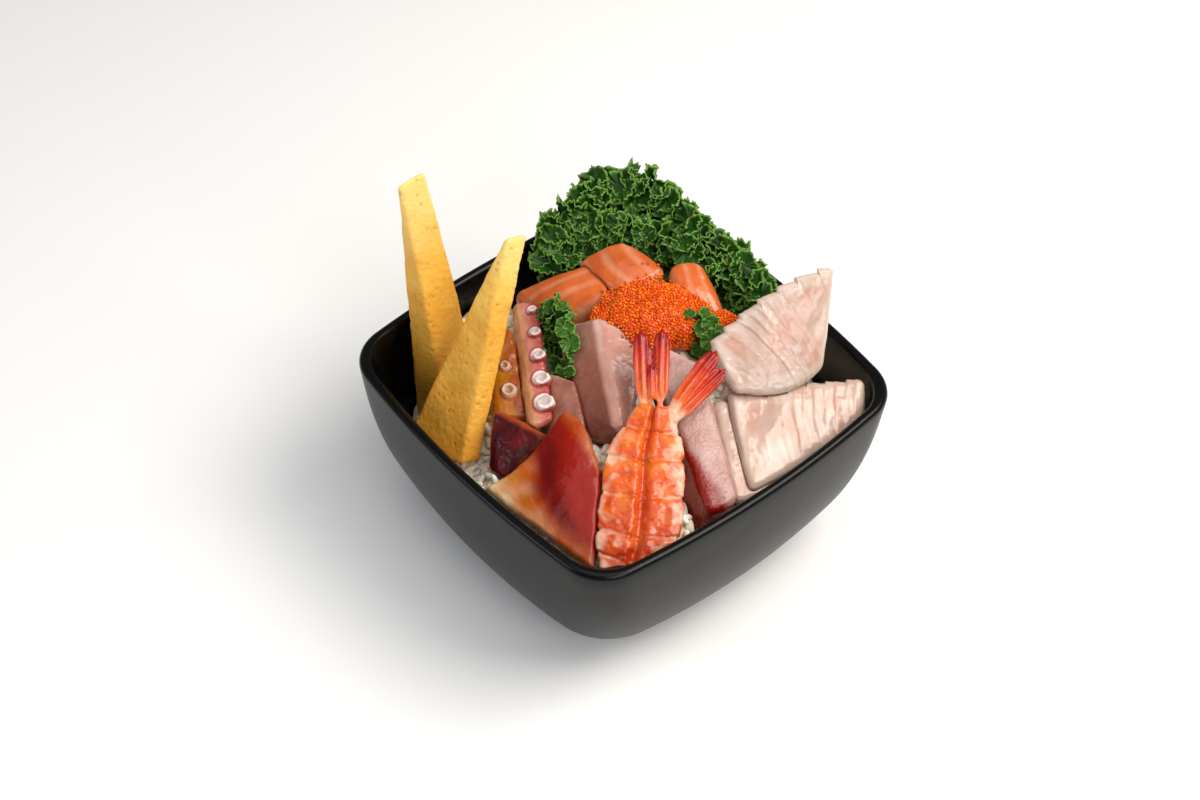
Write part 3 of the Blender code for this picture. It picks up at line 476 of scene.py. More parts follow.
omelette = {
    "grid": 0.6, "rounds": 5, "poreSize": 2.3, "poreDepth": 0.38, "poreShare": 0.36, "wave": 0.35,
    "faces": {
        "tamago_rear": [(-74.6, -40.0, 129), (-73.2, -39.0, 129), (-39.5, -46.5, 34), (-58.0, -49.0, 32)],
        "tamago_front": [(-44.8, -16.8, 113), (-43.0, -16.2, 113.5), (-15.5, -60.5, 50.5),
                         (-42.5, -67.0, 43)],
    },
    "look": {
        "base": "#F3BF50", "blotch": ("#E8A636", 16), "gloss": (0.42, 0.6),
        "grain": (1.1, 0.25), "cells": (1.7, 0.22),
        "specks": ("#D89A34", 3.2, 0.4), "scatter": (0.25, (2.0, 1.1, 0.4)),
        # the pores' colour is painted shade in the pits; the paler top and deeper orange foot are partly the
        # egg's own colour, partly painted light at the top and painted shade where the bowl shades the foot
        "layers": [("paleEnd", "#F9DA84", 0.85), ("pore", "#C68A30", 0.55), ("deepEnd", "#DC9024", 0.7)],
    },
}


def makeOmelette():
    # egg curd set in thin layers: satin, porous where it was cut, with painted shade in the pores; paler at
    # the top and deeper orange at the foot, partly its own colour and partly painted light and painted shade
    material = foodMaterial("layeredEggCurd", omelette["look"])
    for nodeName, corners in omelette["faces"].items():
        pieceName = "omelette" + nodeName.split("_")[1].capitalize()
        piece, points, normals = refine(pieceName, nodeName, omelette)
        share = patchPlace(points, corners)[1]
        holes = np.zeros(len(points))
        size = omelette["poreSize"]
        for index, point in enumerate(points / (size, size, size * 1.5)):
            distances, spots = noise.voronoi(Vector(point))
            chosen = noise.cell(spots[0] * 7.3) > 1 - 2 * omelette["poreShare"]
            holes[index] = max(0.0, 1 - distances[0] / 0.34) if chosen else 0.0
        depth = -omelette["poreDepth"] * ramp(holes, 0, 0.8)
        swell = omelette["wave"] * fuzz(points, 9) + 0.12 * fuzz(points, 2.2)
        movePoints(piece, points + normals * (depth + swell)[:, None])
        # masks: painted shade in the pore pits, and a paler top and deeper foot that are partly painted
        # light and painted shade
        addMasks(piece, pore=ramp(holes, 0.05, 0.6),
                 paleEnd=ramp(share + 0.1 * fuzz(points, 14), 0.34, 0.02),
                 deepEnd=ramp(share + 0.08 * fuzz(points, 12), 0.35, 1.1))
        finishPiece(piece, material, "omelette", nodeName)


makeOmelette()


# Sliced raw fish: each slice has its face's corners, so that lines and colours follow the cut

fishShape = {
    "grid": 0.55, "rounds": 14, "edgeShare": 0.12, "stripeDepth": 0.15,
    # flakes: how far a raised end fades, the crease before it, and the saw of the upper edge
    "flakeFade": 0.05, "crease": 0.006, "teeth": 7.0, "faceSink": 0.3, "sideSwell": 0.4,
}
fishSlices = {
    "tuna_front": {
        "face": [(1, 9, 83.5), (19, 19.5, 80), (65.5, -1.5, 61), (63.5, -15.5, 62)],
        "look": "pinkTuna", "ripple": 0.35, "bloodFrom": (0.1, 0.4), "bloodCorner": 0.52,
    },
    "tuna_rear": {
        "face": [(-19, 3.0, 84.5), (-1, 13.5, 77), (30, -5.0, 62), (21.5, -21.5, 72)],
        "look": "dullTuna", "ripple": 0.3, "bloodFrom": (0.4, 1.3),
    },
    "pale_slice": {
        "face": [(-21, -21, 69), (-8, -14, 71), (17, -27, 63), (4, -36, 61)],
        "look": "shadedTuna", "ripple": 0.3, "bloodFrom": (0.3, 1.0),
    },
    "salmon_left": {
        "face": [(-60.5, -4.5, 68), (-43, 25.5, 79), (-21.5, 15.0, 80), (-38, -3.0, 69.5)],
        "look": "salmonFlesh", "stripes": (3.0, 1.0, 0.25), "ripple": 0.3,
    },
    "salmon_middle": {
        "face": [(-50, 17.5, 77), (-40.5, 34.5, 87), (-17, 38.5, 84), (-23, 15.5, 80.5)],
        "look": "salmonFlesh", "stripes": (2.6, 0.2, 1.0), "ripple": 0.3,
    },
    "salmon_right": {
        "face": [(-24.5, 40, 81), (-18.5, 53.5, 81), (4.5, 47.5, 72), (-1.5, 31.5, 75)],
        "look": "salmonFlesh", "stripes": (3.0, 0.1, 1.0), "ripple": 0.3,
    },
    "white_upper": {
        "face": [(18.5, 24, 84), (31, 71.5, 103), (47, 53.5, 75), (35.5, 21.5, 74.5)],
        "look": "whiteFishFlesh", "ripple": 0.3, "scallop": 1.5, "thin": 0.5, "slant": 0.38,
        # where flake edges run across the slice, as shares from its left end, with their depths
        "flakes": [(0.13, 0.15), (0.26, 0.5), (0.33, 0.25), (0.40, 0.4), (0.47, 0.3), (0.60, 0.15),
                   (0.74, 0.12), (0.87, 0.1)],
    },
    "white_lower": {
        "face": [(30, 22, 71.5), (55.5, 67, 68.5), (66.8, 56, 60), (63.8, 3.5, 60)],
        "look": "whiteFishFlesh", "ripple": 0.35, "scallop": 1.0, "thin": 0.9, "slant": 0.0,
        "flakes": [(0.22, 0.1), (0.37, 0.15), (0.47, 0.4), (0.54, 0.25), (0.62, 0.4), (0.70, 0.3),
                   (0.78, 0.45), (0.86, 0.3), (0.93, 0.4)],
    },
    "white_under": {
        "face": [(27, 18, 69), (42, 32, 66), (66, 14, 56), (63.5, -3, 58.5)],
        "look": "whiteFishFlesh", "ripple": 0.3, "scallop": 0.4, "thin": 0.9, "slant": 0.0,
        "flakes": [(0.3, 0.3), (0.6, 0.3)],
    },
}
fishLooks = {
    # lean pale tuna: sparkling wet fibres, painted shade on the side faces, dark red where blood stays in
    # the side
    "pinkTuna": {
        "slot": "tuna", "base": "#B0847B", "blotch": ("#C29C93", 9), "gloss": (0.16, 0.34),
        "grain": (0.8, 0.12), "cells": (1.0, 0.28),
        "scatter": (0.3, (2.0, 0.9, 0.6)), "coat": 0.3,
        "layers": [("paleEdge", "#D8BCAE", 0.8), ("shadeSide", "#84382A", 0.9), ("blood", "#860F05", 1.0)],
    },
    # the same fish cut thicker, its side face duller with painted shade, darkest towards the lower end
    "dullTuna": {
        "slot": "tuna", "base": "#C69486", "blotch": ("#B68070", 9), "gloss": (0.14, 0.3),
        "grain": (0.9, 0.05),
        "scatter": (0.3, (2.4, 1.1, 0.8)), "coat": 0.3,
        "layers": [("paleEdge", "#DCC0B4", 0.8), ("shadeSide", "#94503F", 0.8), ("blood", "#5E1C10", 0.85)],
    },
    # a thin slice of it, seen through to the shade below
    "shadedTuna": {
        "slot": "tuna", "base": "#9A6452", "blotch": ("#8A503E", 9), "gloss": (0.14, 0.3),
        "grain": (0.9, 0.05),
        "scatter": (0.3, (2.4, 1.1, 0.8)), "coat": 0.35,
        "layers": [("paleEdge", "#D0A898", 0.8), ("shadeSide", "#742A1A", 0.95), ("blood", "#4C1008", 0.95)],
    },
    # salmon: oily orange muscle between pale sheets of fat
    "salmonFlesh": {
        "slot": "salmon", "base": "#D66A2C", "blotch": ("#C65820", 10), "gloss": (0.12, 0.28),
        "grain": (1.3, 0.06),
        "scatter": (0.35, (2.5, 1.0, 0.5)), "coat": 0.45,
        "layers": [("fat", "#DE9C78", 0.65), ("edge", "#D28A60", 0.5)],
    },
    # white fish: translucent off-white flakes with a pinkish blush, painted shade in the crease before each
    # flake, and pale streaks that are partly tissue lines and partly painted highlight
    "whiteFishFlesh": {
        "slot": "white_fish", "base": "#D2BAAC", "blotch": ("#CAA898", 11), "gloss": (0.1, 0.24),
        "grain": (1.0, 0.04),
        "scatter": (0.4, (2.4, 1.6, 1.2)), "coat": 0.5,
        "layers": [("thin", "#B08C7A", 0.6), ("pinkBlush", "#C68C76", 0.5), ("milk", "#E2D2C8", 0.35),
                   ("sheet", "#946A56", 0.35), ("edge", "#D6C6B8", 0.45)],
    },
}


def stripeSalmon(points, u, v, spec):
    # lines of fat, which lie a little lower: the relief and its mask
    count, alongShare, acrossShare = spec["stripes"]
    bend = 0.05 * fuzz(points, 14) + 0.10 * np.sin(2.6 * v)
    phase = (u * acrossShare + v * alongShare + bend) * count
    fat = ramp(1 - np.abs((phase % 1.0) - 0.5) * 2, 0.4, 0.98)
    return -fishShape["stripeDepth"] * fat, fat * (0.75 + 0.4 * fuzz(points, 5))


def flakeWhiteFish(points, place, u, v, lift, edge, spec):
    # flakes that overlap like tiles, with painted shade in the crease before each: the relief and its masks
    rise, sheet = np.zeros(len(points)), np.zeros(len(points))
    crease = fishShape["crease"]
    for start, depth in spec["flakes"]:
        past = place - start
        step = np.where(past > 0, np.exp(-past / fishShape["flakeFade"]), ramp(past, -0.008, 0.0))
        rise = rise + depth * step * (0.75 + 0.35 * fuzz(points, 11, start * 9))
        # a dark line of painted shade in the crease before each flake
        sheet = np.maximum(sheet, np.exp(-((past + crease) / crease) ** 2) * min(1.0, depth * 1.4))
    top = ramp(lift, -2.5, -0.5)
    rise = rise - fishShape["faceSink"] * top + fishShape["sideSwell"] * (1 - top)
    # pale streaks along the flakes: partly tissue lines, partly painted highlight
    streaks = fuzz(np.stack([place * 70, v * 7, lift * 0.3], 1), 2.2)
    return rise, {
        "milk": ramp(streaks, 0.0, 0.3) * ramp(fuzz(points, 16, 3.0), -0.3, 0.2),
        "sheet": sheet * ramp(fuzz(points, 8, 4.0), -0.5, 0.1) * top,
        "pinkBlush": ramp(fuzz(points, 10, 2.0), -0.05, 0.35) * (1 - edge),
        "thin": spec["thin"] * ramp(fuzz(points, 12, 7.0) + 0.3 * u, -0.25, 0.4),
    }


def stainTuna(points, u, v, lift, edge, spec):
    # painted shade on the side faces, with blood towards their lower end: the masks
    side = ramp(lift, -0.8, -3.0)
    blood = side * ramp(v + 0.1 * fuzz(points, 8), *spec["bloodFrom"])
    if "bloodCorner" in spec:    # it spreads over the face's lower left corner too
        reach = 1.3 * (v - spec["bloodCorner"]) - u + 0.1 * fuzz(points, 7)
        blood = np.maximum(blood, ramp(reach, -0.15, 0.2))
    # the side faces get painted shade; blood lies towards their lower end
    return {"shadeSide": side * ramp(v, -0.2, 0.6), "blood": blood,
            "paleEdge": edge * ramp(v, 0.5, 0.0) * (1 - side)}


def makeFish():
    materials = {name: foodMaterial(name, look) for name, look in fishLooks.items()}
    for nodeName, spec in fishSlices.items():
        kind, where = nodeName.split("_")
        piece, points, normals = refine(kind + where.capitalize(), nodeName, fishShape)
        u, v, lift = patchPlace(points, spec["face"])
        rise = spec["ripple"] * fuzz(points, 6) + 0.1 * fuzz(points, 1.6)
        edge = 1 - ramp(np.minimum(np.minimum(u, 1 - u), np.minimum(v, 1 - v)), 0.0, fishShape["edgeShare"])
        masks = {"edge": edge}
        if "stripes" in spec:
            relief, masks["fat"] = stripeSalmon(points, u, v, spec)
            rise = rise + relief
        elif "flakes" in spec:
            place = u - spec["slant"] * v + 0.012 * fuzz(points, 7) + 0.03 * np.sin(3 * v)
            relief, own = flakeWhiteFish(points, place, u, v, lift, edge, spec)
            rise, masks = rise + relief, {**masks, **own}
            # the upper edge steps in and out where the flakes end
            inward = np.array(spec["face"][3], float) - np.array(spec["face"][0], float)
            inward /= np.linalg.norm(inward)
            saw = (place * fishShape["teeth"]) % 1.0 - 0.5
            shift = spec["scallop"] * saw * ramp(v, 0.35, 0.0) * ramp(v, -0.6, -0.2)
            points = points + inward * shift[:, None]
        else:
            masks = stainTuna(points, u, v, lift, edge, spec)
        addMasks(piece, **masks)
        movePoints(piece, points + normals * rise[:, None])
        finishPiece(piece, materials[spec["look"]], fishLooks[spec["look"]]["slot"], nodeName)


makeFish()


# Octopus: two slices with a cut side, pink skin and a row of cupped suckers

octopusShape = {
    "grid": 0.38, "rounds": 7,
    # each sucker: the rise of its lip, the depth of its dish and of the groove round it, and its height
    "lip": 0.2, "dish": 0.45, "groove": 0.3, "height": 1.2,
}
octopusSlices = {
    "octopus_front": {
        "face": [(-51, -9, 72.5), (-43.5, -2.5, 74), (0.5, -31.0, 67), (-2.5, -39.5, 66)],
        "suckers": 5, "along": (0.08, 0.84), "side": 0.70, "radius": (2.0, 3.9), "look": "boiledOctopus",
    },
    "octopus_rear": {
        "face": [(-50, -24, 70), (-42, -15.5, 71), (-9, -34.5, 62), (-18, -43, 61)],
        "suckers": 2, "along": (0.46, 0.72), "side": 0.52, "radius": (2.0, 2.8), "look": "amberOctopus",
    },
}
octopusLooks = {
    # boiled octopus: pink-red skin over cream flesh, white suckers with grey centres
    "boiledOctopus": {
        "base": "#C88474", "blotch": ("#BC6654", 5), "gloss": (0.2, 0.36),
        "grain": (0.9, 0.1), "scatter": (0.3, (2.0, 0.9, 0.7)), "coat": 0.35,
        "layers": [("skin", "#B2463C", 0.75), ("cutFace", "#C8945E", 0.75), ("collar", "#9C342C", 0.85),
                   ("sucker", "#EADCD6", 0.95), ("suckerHole", "#C2AAA8", 0.8)],
    },
    # the slice behind: the same skin in painted shade with painted yellow bounce light from the omelette,
    # amber to brown-red
    "amberOctopus": {
        "base": "#A8560E", "blotch": ("#B27A14", 7), "gloss": (0.18, 0.36),
        "grain": (1.0, 0.1), "scatter": (0.35, (2.2, 0.8, 0.2)), "coat": 0.3,
        "layers": [("skin", "#8E3410", 0.7), ("cutFace", "#B87218", 0.6), ("collar", "#943A18", 0.7),
                   ("sucker", "#DDBCA4", 0.85), ("suckerHole", "#8E6440", 0.8)],
    },
}


def patchPoint(corners, u, v):
    a, b, c, d = [Vector(corner) for corner in corners]
    return a.lerp(b, u).lerp(d.lerp(c, u), v)


def patchNormal(corners):
    a, b, c, d = [Vector(corner) for corner in corners]
    normal = (b - a + c - d).cross(d - a + c - b).normalized()
    return normal if normal.z > 0 else -normal


def makeOctopus():
    for nodeName, spec in octopusSlices.items():
        pieceName = "octopus" + nodeName.split("_")[1].capitalize()
        piece, points, normals = refine(pieceName, nodeName, octopusShape)
        u = patchPlace(points, spec["face"])[0]
        upward = np.array(patchNormal(spec["face"]))
        cups = np.zeros(len(points))
        rings = np.full(len(points), farAway)
        (start, stop), (first, last) = spec["along"], spec["radius"]
        for index in range(spec["suckers"]):
            share = index / (spec["suckers"] - 1)
            centre = np.array(patchPoint(spec["face"], spec["side"], start + (stop - start) * share))
            away, radius = points - centre, first + (last - first) * share
            height = away @ upward
            flat = np.linalg.norm(away - height[:, None] * upward, axis=1) / radius
            flat = np.where(height > -octopusShape["height"], flat, farAway)
            # the CAD solid carries a low cup here: it is opened into a flatter dish with a soft lip
            cups += octopusShape["lip"] * np.exp(-((flat - 0.82) / 0.14) ** 2)
            cups -= octopusShape["dish"] * np.exp(-(flat / 0.5) ** 4)
            cups -= octopusShape["groove"] * np.exp(-((flat - 1.15) / 0.16) ** 2)
            rings = np.minimum(rings, flat)
        rise = 0.35 * fuzz(points, 4) + 0.14 * fuzz(points, 1.4)
        movePoints(piece, points + normals * rise[:, None] + upward * cups[:, None])
        addMasks(piece, skin=ramp(u + 0.12 * fuzz(points, 4), 0.42, 0.75),
                 cutFace=ramp(u + 0.1 * fuzz(points, 5), 0.4, 0.15), collar=ramp(rings, 1.5, 1.1),
                 sucker=ramp(rings, 1.06, 0.92), suckerHole=ramp(rings, 0.62, 0.5))
        material = foodMaterial(spec["look"], octopusLooks[spec["look"]])
        finishPiece(piece, material, "octopus_skin", nodeName)


makeOctopus()


# Surf clam: the split tongue, red beside a cream foot, and a dark one beside it

clamShape = {"grid": 0.42, "rounds": 16, "lumps": 0.3, "grit": 0.1, "combing": 0.10}
clamPieces = {
    "clam_main": {
        "face": [(3.2, -29.5, 76), (30.5, -34.5, 69.5), (55, -58.5, 57), (3.0, -66.5, 60)],
        "slot": "surf_clam", "name": "surfClamTongue",
    },
    "clam_dark": {
        "face": [(-19, -44, 67), (6, -37.5, 67.5), (4.5, -57, 57), (-4.5, -58, 56)],
        "slot": "surf_clam_dark", "name": "surfClamDark",
    },
}
clamLooks = {
    # blanched surf clam: wet, from a cream foot over amber to red, darkest along a band
    "clam_main": {
        "base": "#E6CAA4", "blotch": ("#DCB080", 7), "gloss": (0.16, 0.32),
        "grain": (0.5, 0.07),
        "scatter": (0.15, (1.4, 0.5, 0.2)), "coat": 0.15, "ior": 1.26,
        "layers": [("amber", "#C05A0A", 0.95), ("ochre", "#AE6608", 0.95), ("redTip", "#901603", 1.0),
                   ("deepBand", "#5E0301", 1.0)],
    },
    "clam_dark": {
        "base": "#5C0A12", "blotch": ("#380508", 6), "gloss": (0.22, 0.38),
        "grain": (0.5, 0.05),
        "scatter": (0.1, (1.2, 0.4, 0.3)), "coat": 0.15, "ior": 1.3,
        "layers": [("brightEdge", "#B04A1C", 0.8)],
    },
}


def clamColours(points, u, v):
    # the colours change across a line from the middle of the upper left edge to the lower end
    past = u - 1.1 * (v - 0.5) + 0.07 * fuzz(points, 8) + 0.02 * fuzz(points, 2.5)
    ends = 0.45 * ramp(v, 0.14, 0.0) + 0.7 * ramp(v, 0.7, 1.0)    # both ends turn orange
    band = np.exp(-((past - 0.36) / 0.24) ** 2)
    amber = np.maximum(np.exp(-((past + 0.04) / 0.22) ** 2), ramp(past, -0.1, 0.1))
    spots = np.exp(-((u - 0.12) / 0.10) ** 2 - ((v - 0.74) / 0.10) ** 2)
    spots += 0.8 * np.exp(-((u - 0.34) / 0.06) ** 2 - ((v - 0.86) / 0.07) ** 2)
    return {
        "redTip": ramp(past, -0.16, 0.38) * (1 - ends),
        "deepBand": band * ramp(v, -0.05, 0.35) * (1 - ends) * (0.85 + 0.3 * fuzz(points, 9)),
        "amber": amber * (0.85 + 0.3 * fuzz(points, 5)), "ochre": spots * (0.8 + 0.5 * fuzz(points, 3)),
    }


def makeClams():
    for nodeName, spec in clamPieces.items():
        piece, points, normals = refine(spec["name"], nodeName, clamShape)
        u, v, _ = patchPlace(points, spec["face"])
        rise = clamShape["lumps"] * fuzz(points, 5) + clamShape["grit"] * fuzz(points, 1.3)
        if nodeName == "clam_main":
            masks = clamColours(points, u, v)
            # the cream foot is combed
            rise = rise + clamShape["combing"] * fuzz(points * (1.0, 2.5, 1.0), 3) * (1 - masks["redTip"])
        else:
            edge = np.minimum(np.minimum(u, v), 1 - u)
            masks = {"brightEdge": ramp(edge + 0.03 * fuzz(points, 3), 0.12, 0.0)}
        addMasks(piece, **masks)
        movePoints(piece, points + normals * rise[:, None])
        finishPiece(piece, foodMaterial(spec["name"], clamLooks[nodeName]), spec["slot"], nodeName)


makeClams()


# Shrimp: opened flat along the belly, five segments with white seams, tail fans up

shrimp = {
    "stations": [
        ((22.2, -12.0, 79.5), (29.0, -3.6, 79.5)), ((24.5, -21.0, 76.5), (36.0, -6.0, 76.5)),
        ((26.5, -29.5, 73.5), (43.5, -10.0, 73.5)), ((34.0, -37.5, 69.5), (51.0, -16.0, 69.5)),
        ((41.2, -45.0, 65.5), (58.8, -23.0, 65.5)), ((49.0, -53.0, 61.5), (66.0, -31.0, 61.5)),
        ((55.5, -56.5, 58.0), (66.5, -40.0, 58.0)),
    ],
    "grid": 0.45, "rounds": 5, "segments": 5, "samples": 160, "ridges": 9.5,
    # foot and tip of every tail fan, and its half width
    "fans": [
        ((24.5, -11.0, 79.5), (4.8, 3.8, 91.0), 3.6), ((27.5, -6.5, 80.0), (9.0, 9.8, 91.0), 3.4),
        ((31.0, -5.0, 78.5), (27.0, 18.5, 89.0), 3.9), ((33.5, -5.5, 77.5), (33.0, 17.0, 86.0), 3.1),
        ((25.5, -8.5, 80.5), (16.5, -1.5, 87.0), 1.5),
    ],
    "look": {
        # cooked shrimp: orange-red bands on white meat, glossy red tail shells
        "base": "#E05E12", "blotch": ("#D04A0A", 5), "gloss": (0.1, 0.26),
        "grain": (1.0, 0.12), "cells": (1.8, 0.12),
        "scatter": (0.2, (1.8, 0.6, 0.2)), "coat": 0.35, "ior": 1.34,
        # the deep red layer: partly the shell's red, partly painted shade at the lower end near the rim
        "layers": [("amberMeat", "#E87C24", 0.65), ("redder", "#AC2606", 0.85),
                   ("whiteMeat", "#E6C0A2", 0.85), ("tailShell", "#C42A10", 0.9),
                   ("tailStreak", "#E48458", 0.6), ("tailTip", "#98100A", 0.95)],
    },
}


def alongStations(points, stations, samples):
    # each point's share along the body and across it, from -1 at the left edge to 1 at the right
    edges = np.array(stations, float)
    places = np.linspace(0, len(stations) - 1, samples)
    left, right = [np.stack([np.interp(places, range(len(stations)), edges[:, side, axis])
                             for axis in range(3)], 1) for side in (0, 1)]
    middle, half = (left + right) / 2, np.linalg.norm(right - left, axis=1) / 2
    nearest = ((points[:, None, :] - middle[None]) ** 2).sum(2).argmin(1)
    side = (right - left)[nearest] / (2 * half[nearest])[:, None]
    across = ((points - middle[nearest]) * side).sum(1) / half[nearest]
    return nearest / (samples - 1), across


def makeShrimp():
    piece, points, normals = refine("butterflyShrimp", "shrimp", shrimp)
    share, across = alongStations(points, shrimp["stations"], shrimp["samples"])
    fanPlace = np.zeros(len(points))
    ridges = np.zeros(len(points))
    fanNear = np.full(len(points), farAway)
    for foot, tip, half in shrimp["fans"]:
        foot, tip = np.array(foot, float), np.array(tip, float)
        way = (tip - foot) / np.linalg.norm(tip - foot)
        run = (points - foot) @ way
        off = points - foot - run[:, None] * way
        distance = np.linalg.norm(off, axis=1)
        closer = (distance < half * 1.6) & (distance < fanNear) & (run > -2)
        sideWay = np.cross(way, (0.25, -0.35, 0.9))
        sideWay /= np.linalg.norm(sideWay)
        fanNear = np.where(closer, distance, fanNear)
        fanPlace = np.where(closer, run / np.linalg.norm(tip - foot), fanPlace)
        ridges = np.where(closer, np.cos((off @ sideWay) / half * shrimp["ridges"]), ridges)
    onFan = ramp(fanPlace, 0.08, 0.25) * (fanNear < farAway)
    body = 1 - onFan
    wide = np.abs(across)
    phase = (share * shrimp["segments"] + 0.14 * wide + 0.07 * fuzz(points, 5)) % 1.0
    seam = np.maximum(ramp(phase, 0.14, 0.03), ramp(phase, 0.93, 0.99))
    groove = np.exp(-(across / 0.09) ** 2)
    beside = np.exp(-((wide - 0.22) / 0.1) ** 2)
    rise = body * (0.5 * np.sin(phase * math.pi) - 0.6 * seam - 0.7 * groove + 0.4 * beside)
    rise += body * (0.45 * fuzz(points, 3.2) + 0.22 * fuzz(points, 1.3))
    rise += onFan * (0.28 * ridges + 0.12 * fuzz(points, 2))
    movePoints(piece, points + normals * rise[:, None])
    edge = ramp(wide + 0.25 * fuzz(points, 5), 0.68, 0.96)
    whiteSeam = seam * ramp(wide, 0.15, 0.8) * (0.5 + 0.9 * fuzz(points, 3.5))
    blobs = 0.7 * ramp(fuzz(points, 3.4, 11.0), 0.15, 0.45) * ramp(share, 0.2, 0.4) * ramp(wide, 0.2, 0.6)
    whiteEdge = edge * ramp(fuzz(points, 5, 8.0), -0.3, 0.15)
    # redder and darker towards the lower end, partly painted shade near the rim, and along the middle groove
    redShare = np.maximum(ramp(share, 0.45, 0.9) * 0.95, groove * 0.8)
    addMasks(piece, whiteMeat=np.maximum(np.maximum(whiteSeam, whiteEdge), blobs) * body,
             redder=body * redShare * (0.85 + 0.6 * fuzz(points, 5)),
             amberMeat=body * ramp(fuzz(points, 6, 5.0), -0.1, 0.35),
             tailShell=onFan * ramp(fanPlace, 0.1, 0.7),
             tailStreak=onFan * ramp(ridges, 0.3, 0.9) * ramp(fanPlace, 0.75, 0.4),
             tailTip=onFan * ramp(fanPlace + 0.08 * fuzz(points, 3), 0.62, 0.95))
    finishPiece(piece, foodMaterial("cookedShrimp", shrimp["look"]), "cooked_shrimp", "shrimp")


makeShrimp()


# Many small things: copies of a few shapes joined into one mesh

def rounded(place):
    return tuple(round(value, 4) for value in place)


def shapeArrays(work, masks=None):
    # points, faces as corner lists, and named mask values of a small bmesh, which is then freed
    work.verts.ensure_lookup_table()
    points = np.array([vert.co for vert in work.verts])
    faces = [[vert.index for vert in face.verts] for face in work.faces]
    work.free()
    return points, faces, masks or {}


def joinCopies(pieceName, shapes, placements, tones=None):
    # placements: (shape index, matrix in millimetres); tones: one value for each copy, kept as a mask
    allPoints, corners, starts, totals = [], [], [], []
    masks = {name: [] for name in shapes[0][2]}
    if tones is not None:
        masks["tone"] = []
    offset = 0
    for index, (shapeIndex, matrix) in enumerate(placements):
        points, faces, ownMasks = shapes[shapeIndex]
        turn = np.array(matrix)
        allPoints.append(points @ turn[:3, :3].T + turn[:3, 3])
        for face in faces:
            starts.append(len(corners))
            totals.append(len(face))
            corners.extend(corner + offset for corner in face)
        for name in masks:
            masks[name].append(np.full(len(points), tones[index]) if name == "tone" else ownMasks[name])
        offset += len(points)
    mesh = bpy.data.meshes.new(pieceName)
    mesh.vertices.add(offset)
    mesh.vertices.foreach_set("co", (np.concatenate(allPoints) * mm).ravel())
    mesh.loops.add(len(corners))
    mesh.loops.foreach_set("vertex_index", corners)
    mesh.polygons.add(len(starts))
    mesh.polygons.foreach_set("loop_start", starts)
    mesh.polygons.foreach_set("loop_total", totals)
    mesh.update(calc_edges=True)
    mesh.validate()
    made = linkObject(pieceName, mesh)
    addMasks(made, **{name: np.concatenate(values) for name, values in masks.items()})
    return made


def surfaceSpots(piece, count, apart, generator, allowed):
    # random spots on a mesh, at least the given distance apart, as (point, normal) in millimetres
    mesh = piece.data
    mesh.calc_loop_triangles()
    triangles = [(t.vertices[:], t.normal.copy(), t.area) for t in mesh.loop_triangles]
    weights = np.cumsum([area for _, _, area in triangles])
    chosen, cells = [], {}
    for _ in range(count):
        pick = int(np.searchsorted(weights, generator.random() * weights[-1]))
        corners, normal, _ = triangles[min(pick, len(triangles) - 1)]
        a, b = generator.random(), generator.random()
        if a + b > 1:
            a, b = 1 - a, 1 - b
        first, second, third = [mesh.vertices[corner].co for corner in corners]
        point = (first + (second - first) * a + (third - first) * b) / mm
        if not allowed(point, normal):
            continue
        cell = tuple(int(math.floor(value / apart)) for value in point)
        around = [(cell[0] + i, cell[1] + j, cell[2] + k)
                  for i in (-1, 0, 1) for j in (-1, 0, 1) for k in (-1, 0, 1)]
        if any((point - other).length < apart for key in around for other in cells.get(key, [])):
            continue
        cells.setdefault(cell, []).append(point)
        chosen.append((point, normal))
    return chosen


def lying(point, normal, spin, scale):
    # a matrix that lays a shape's XY plane on a surface, turned by spin
    upright = Vector((0, 0, 1)).rotation_difference(normal).to_matrix().to_4x4()
    return (Matrix.Translation(point) @ upright @ Matrix.Rotation(spin, 4, "Z")
            @ Matrix.Diagonal((*scale, 1.0)))


# Flying fish roe: eggs of about a millimetre, packed over a core of the heap's form

roe = {
    # for each heap: the piece's name and how many spots are tried
    "heaps": {"roe_large": ("roeLarge", 22000), "roe_small": ("roeSmall", 3666)},
    "seed": 3, "grid": 0.6, "rounds": 3, "sink": 0.5, "lump": 0.7,
    "eggRadius": (0.44, 0.58), "apart": 0.80, "bareFoot": 2.5,
    # one egg in so many has a loose one beside it, strewn so far out and lying at most so far down
    "looseOneIn": 4, "strewn": 2.8, "fallen": 4,
    "look": {
        # flying fish roe: wet, see-through orange skins with a bright point on each
        "base": "#E25204", "blotch": ("#D44602", 4), "gloss": (0.06, 0.16),
        "grain": (0.6, 0.02), "scatter": (0.3, (0.8, 0.3, 0.03)), "coat": 0.2, "ior": 1.34,
        "layers": [("tone", "#FC941C", 0.8)],
    },
}


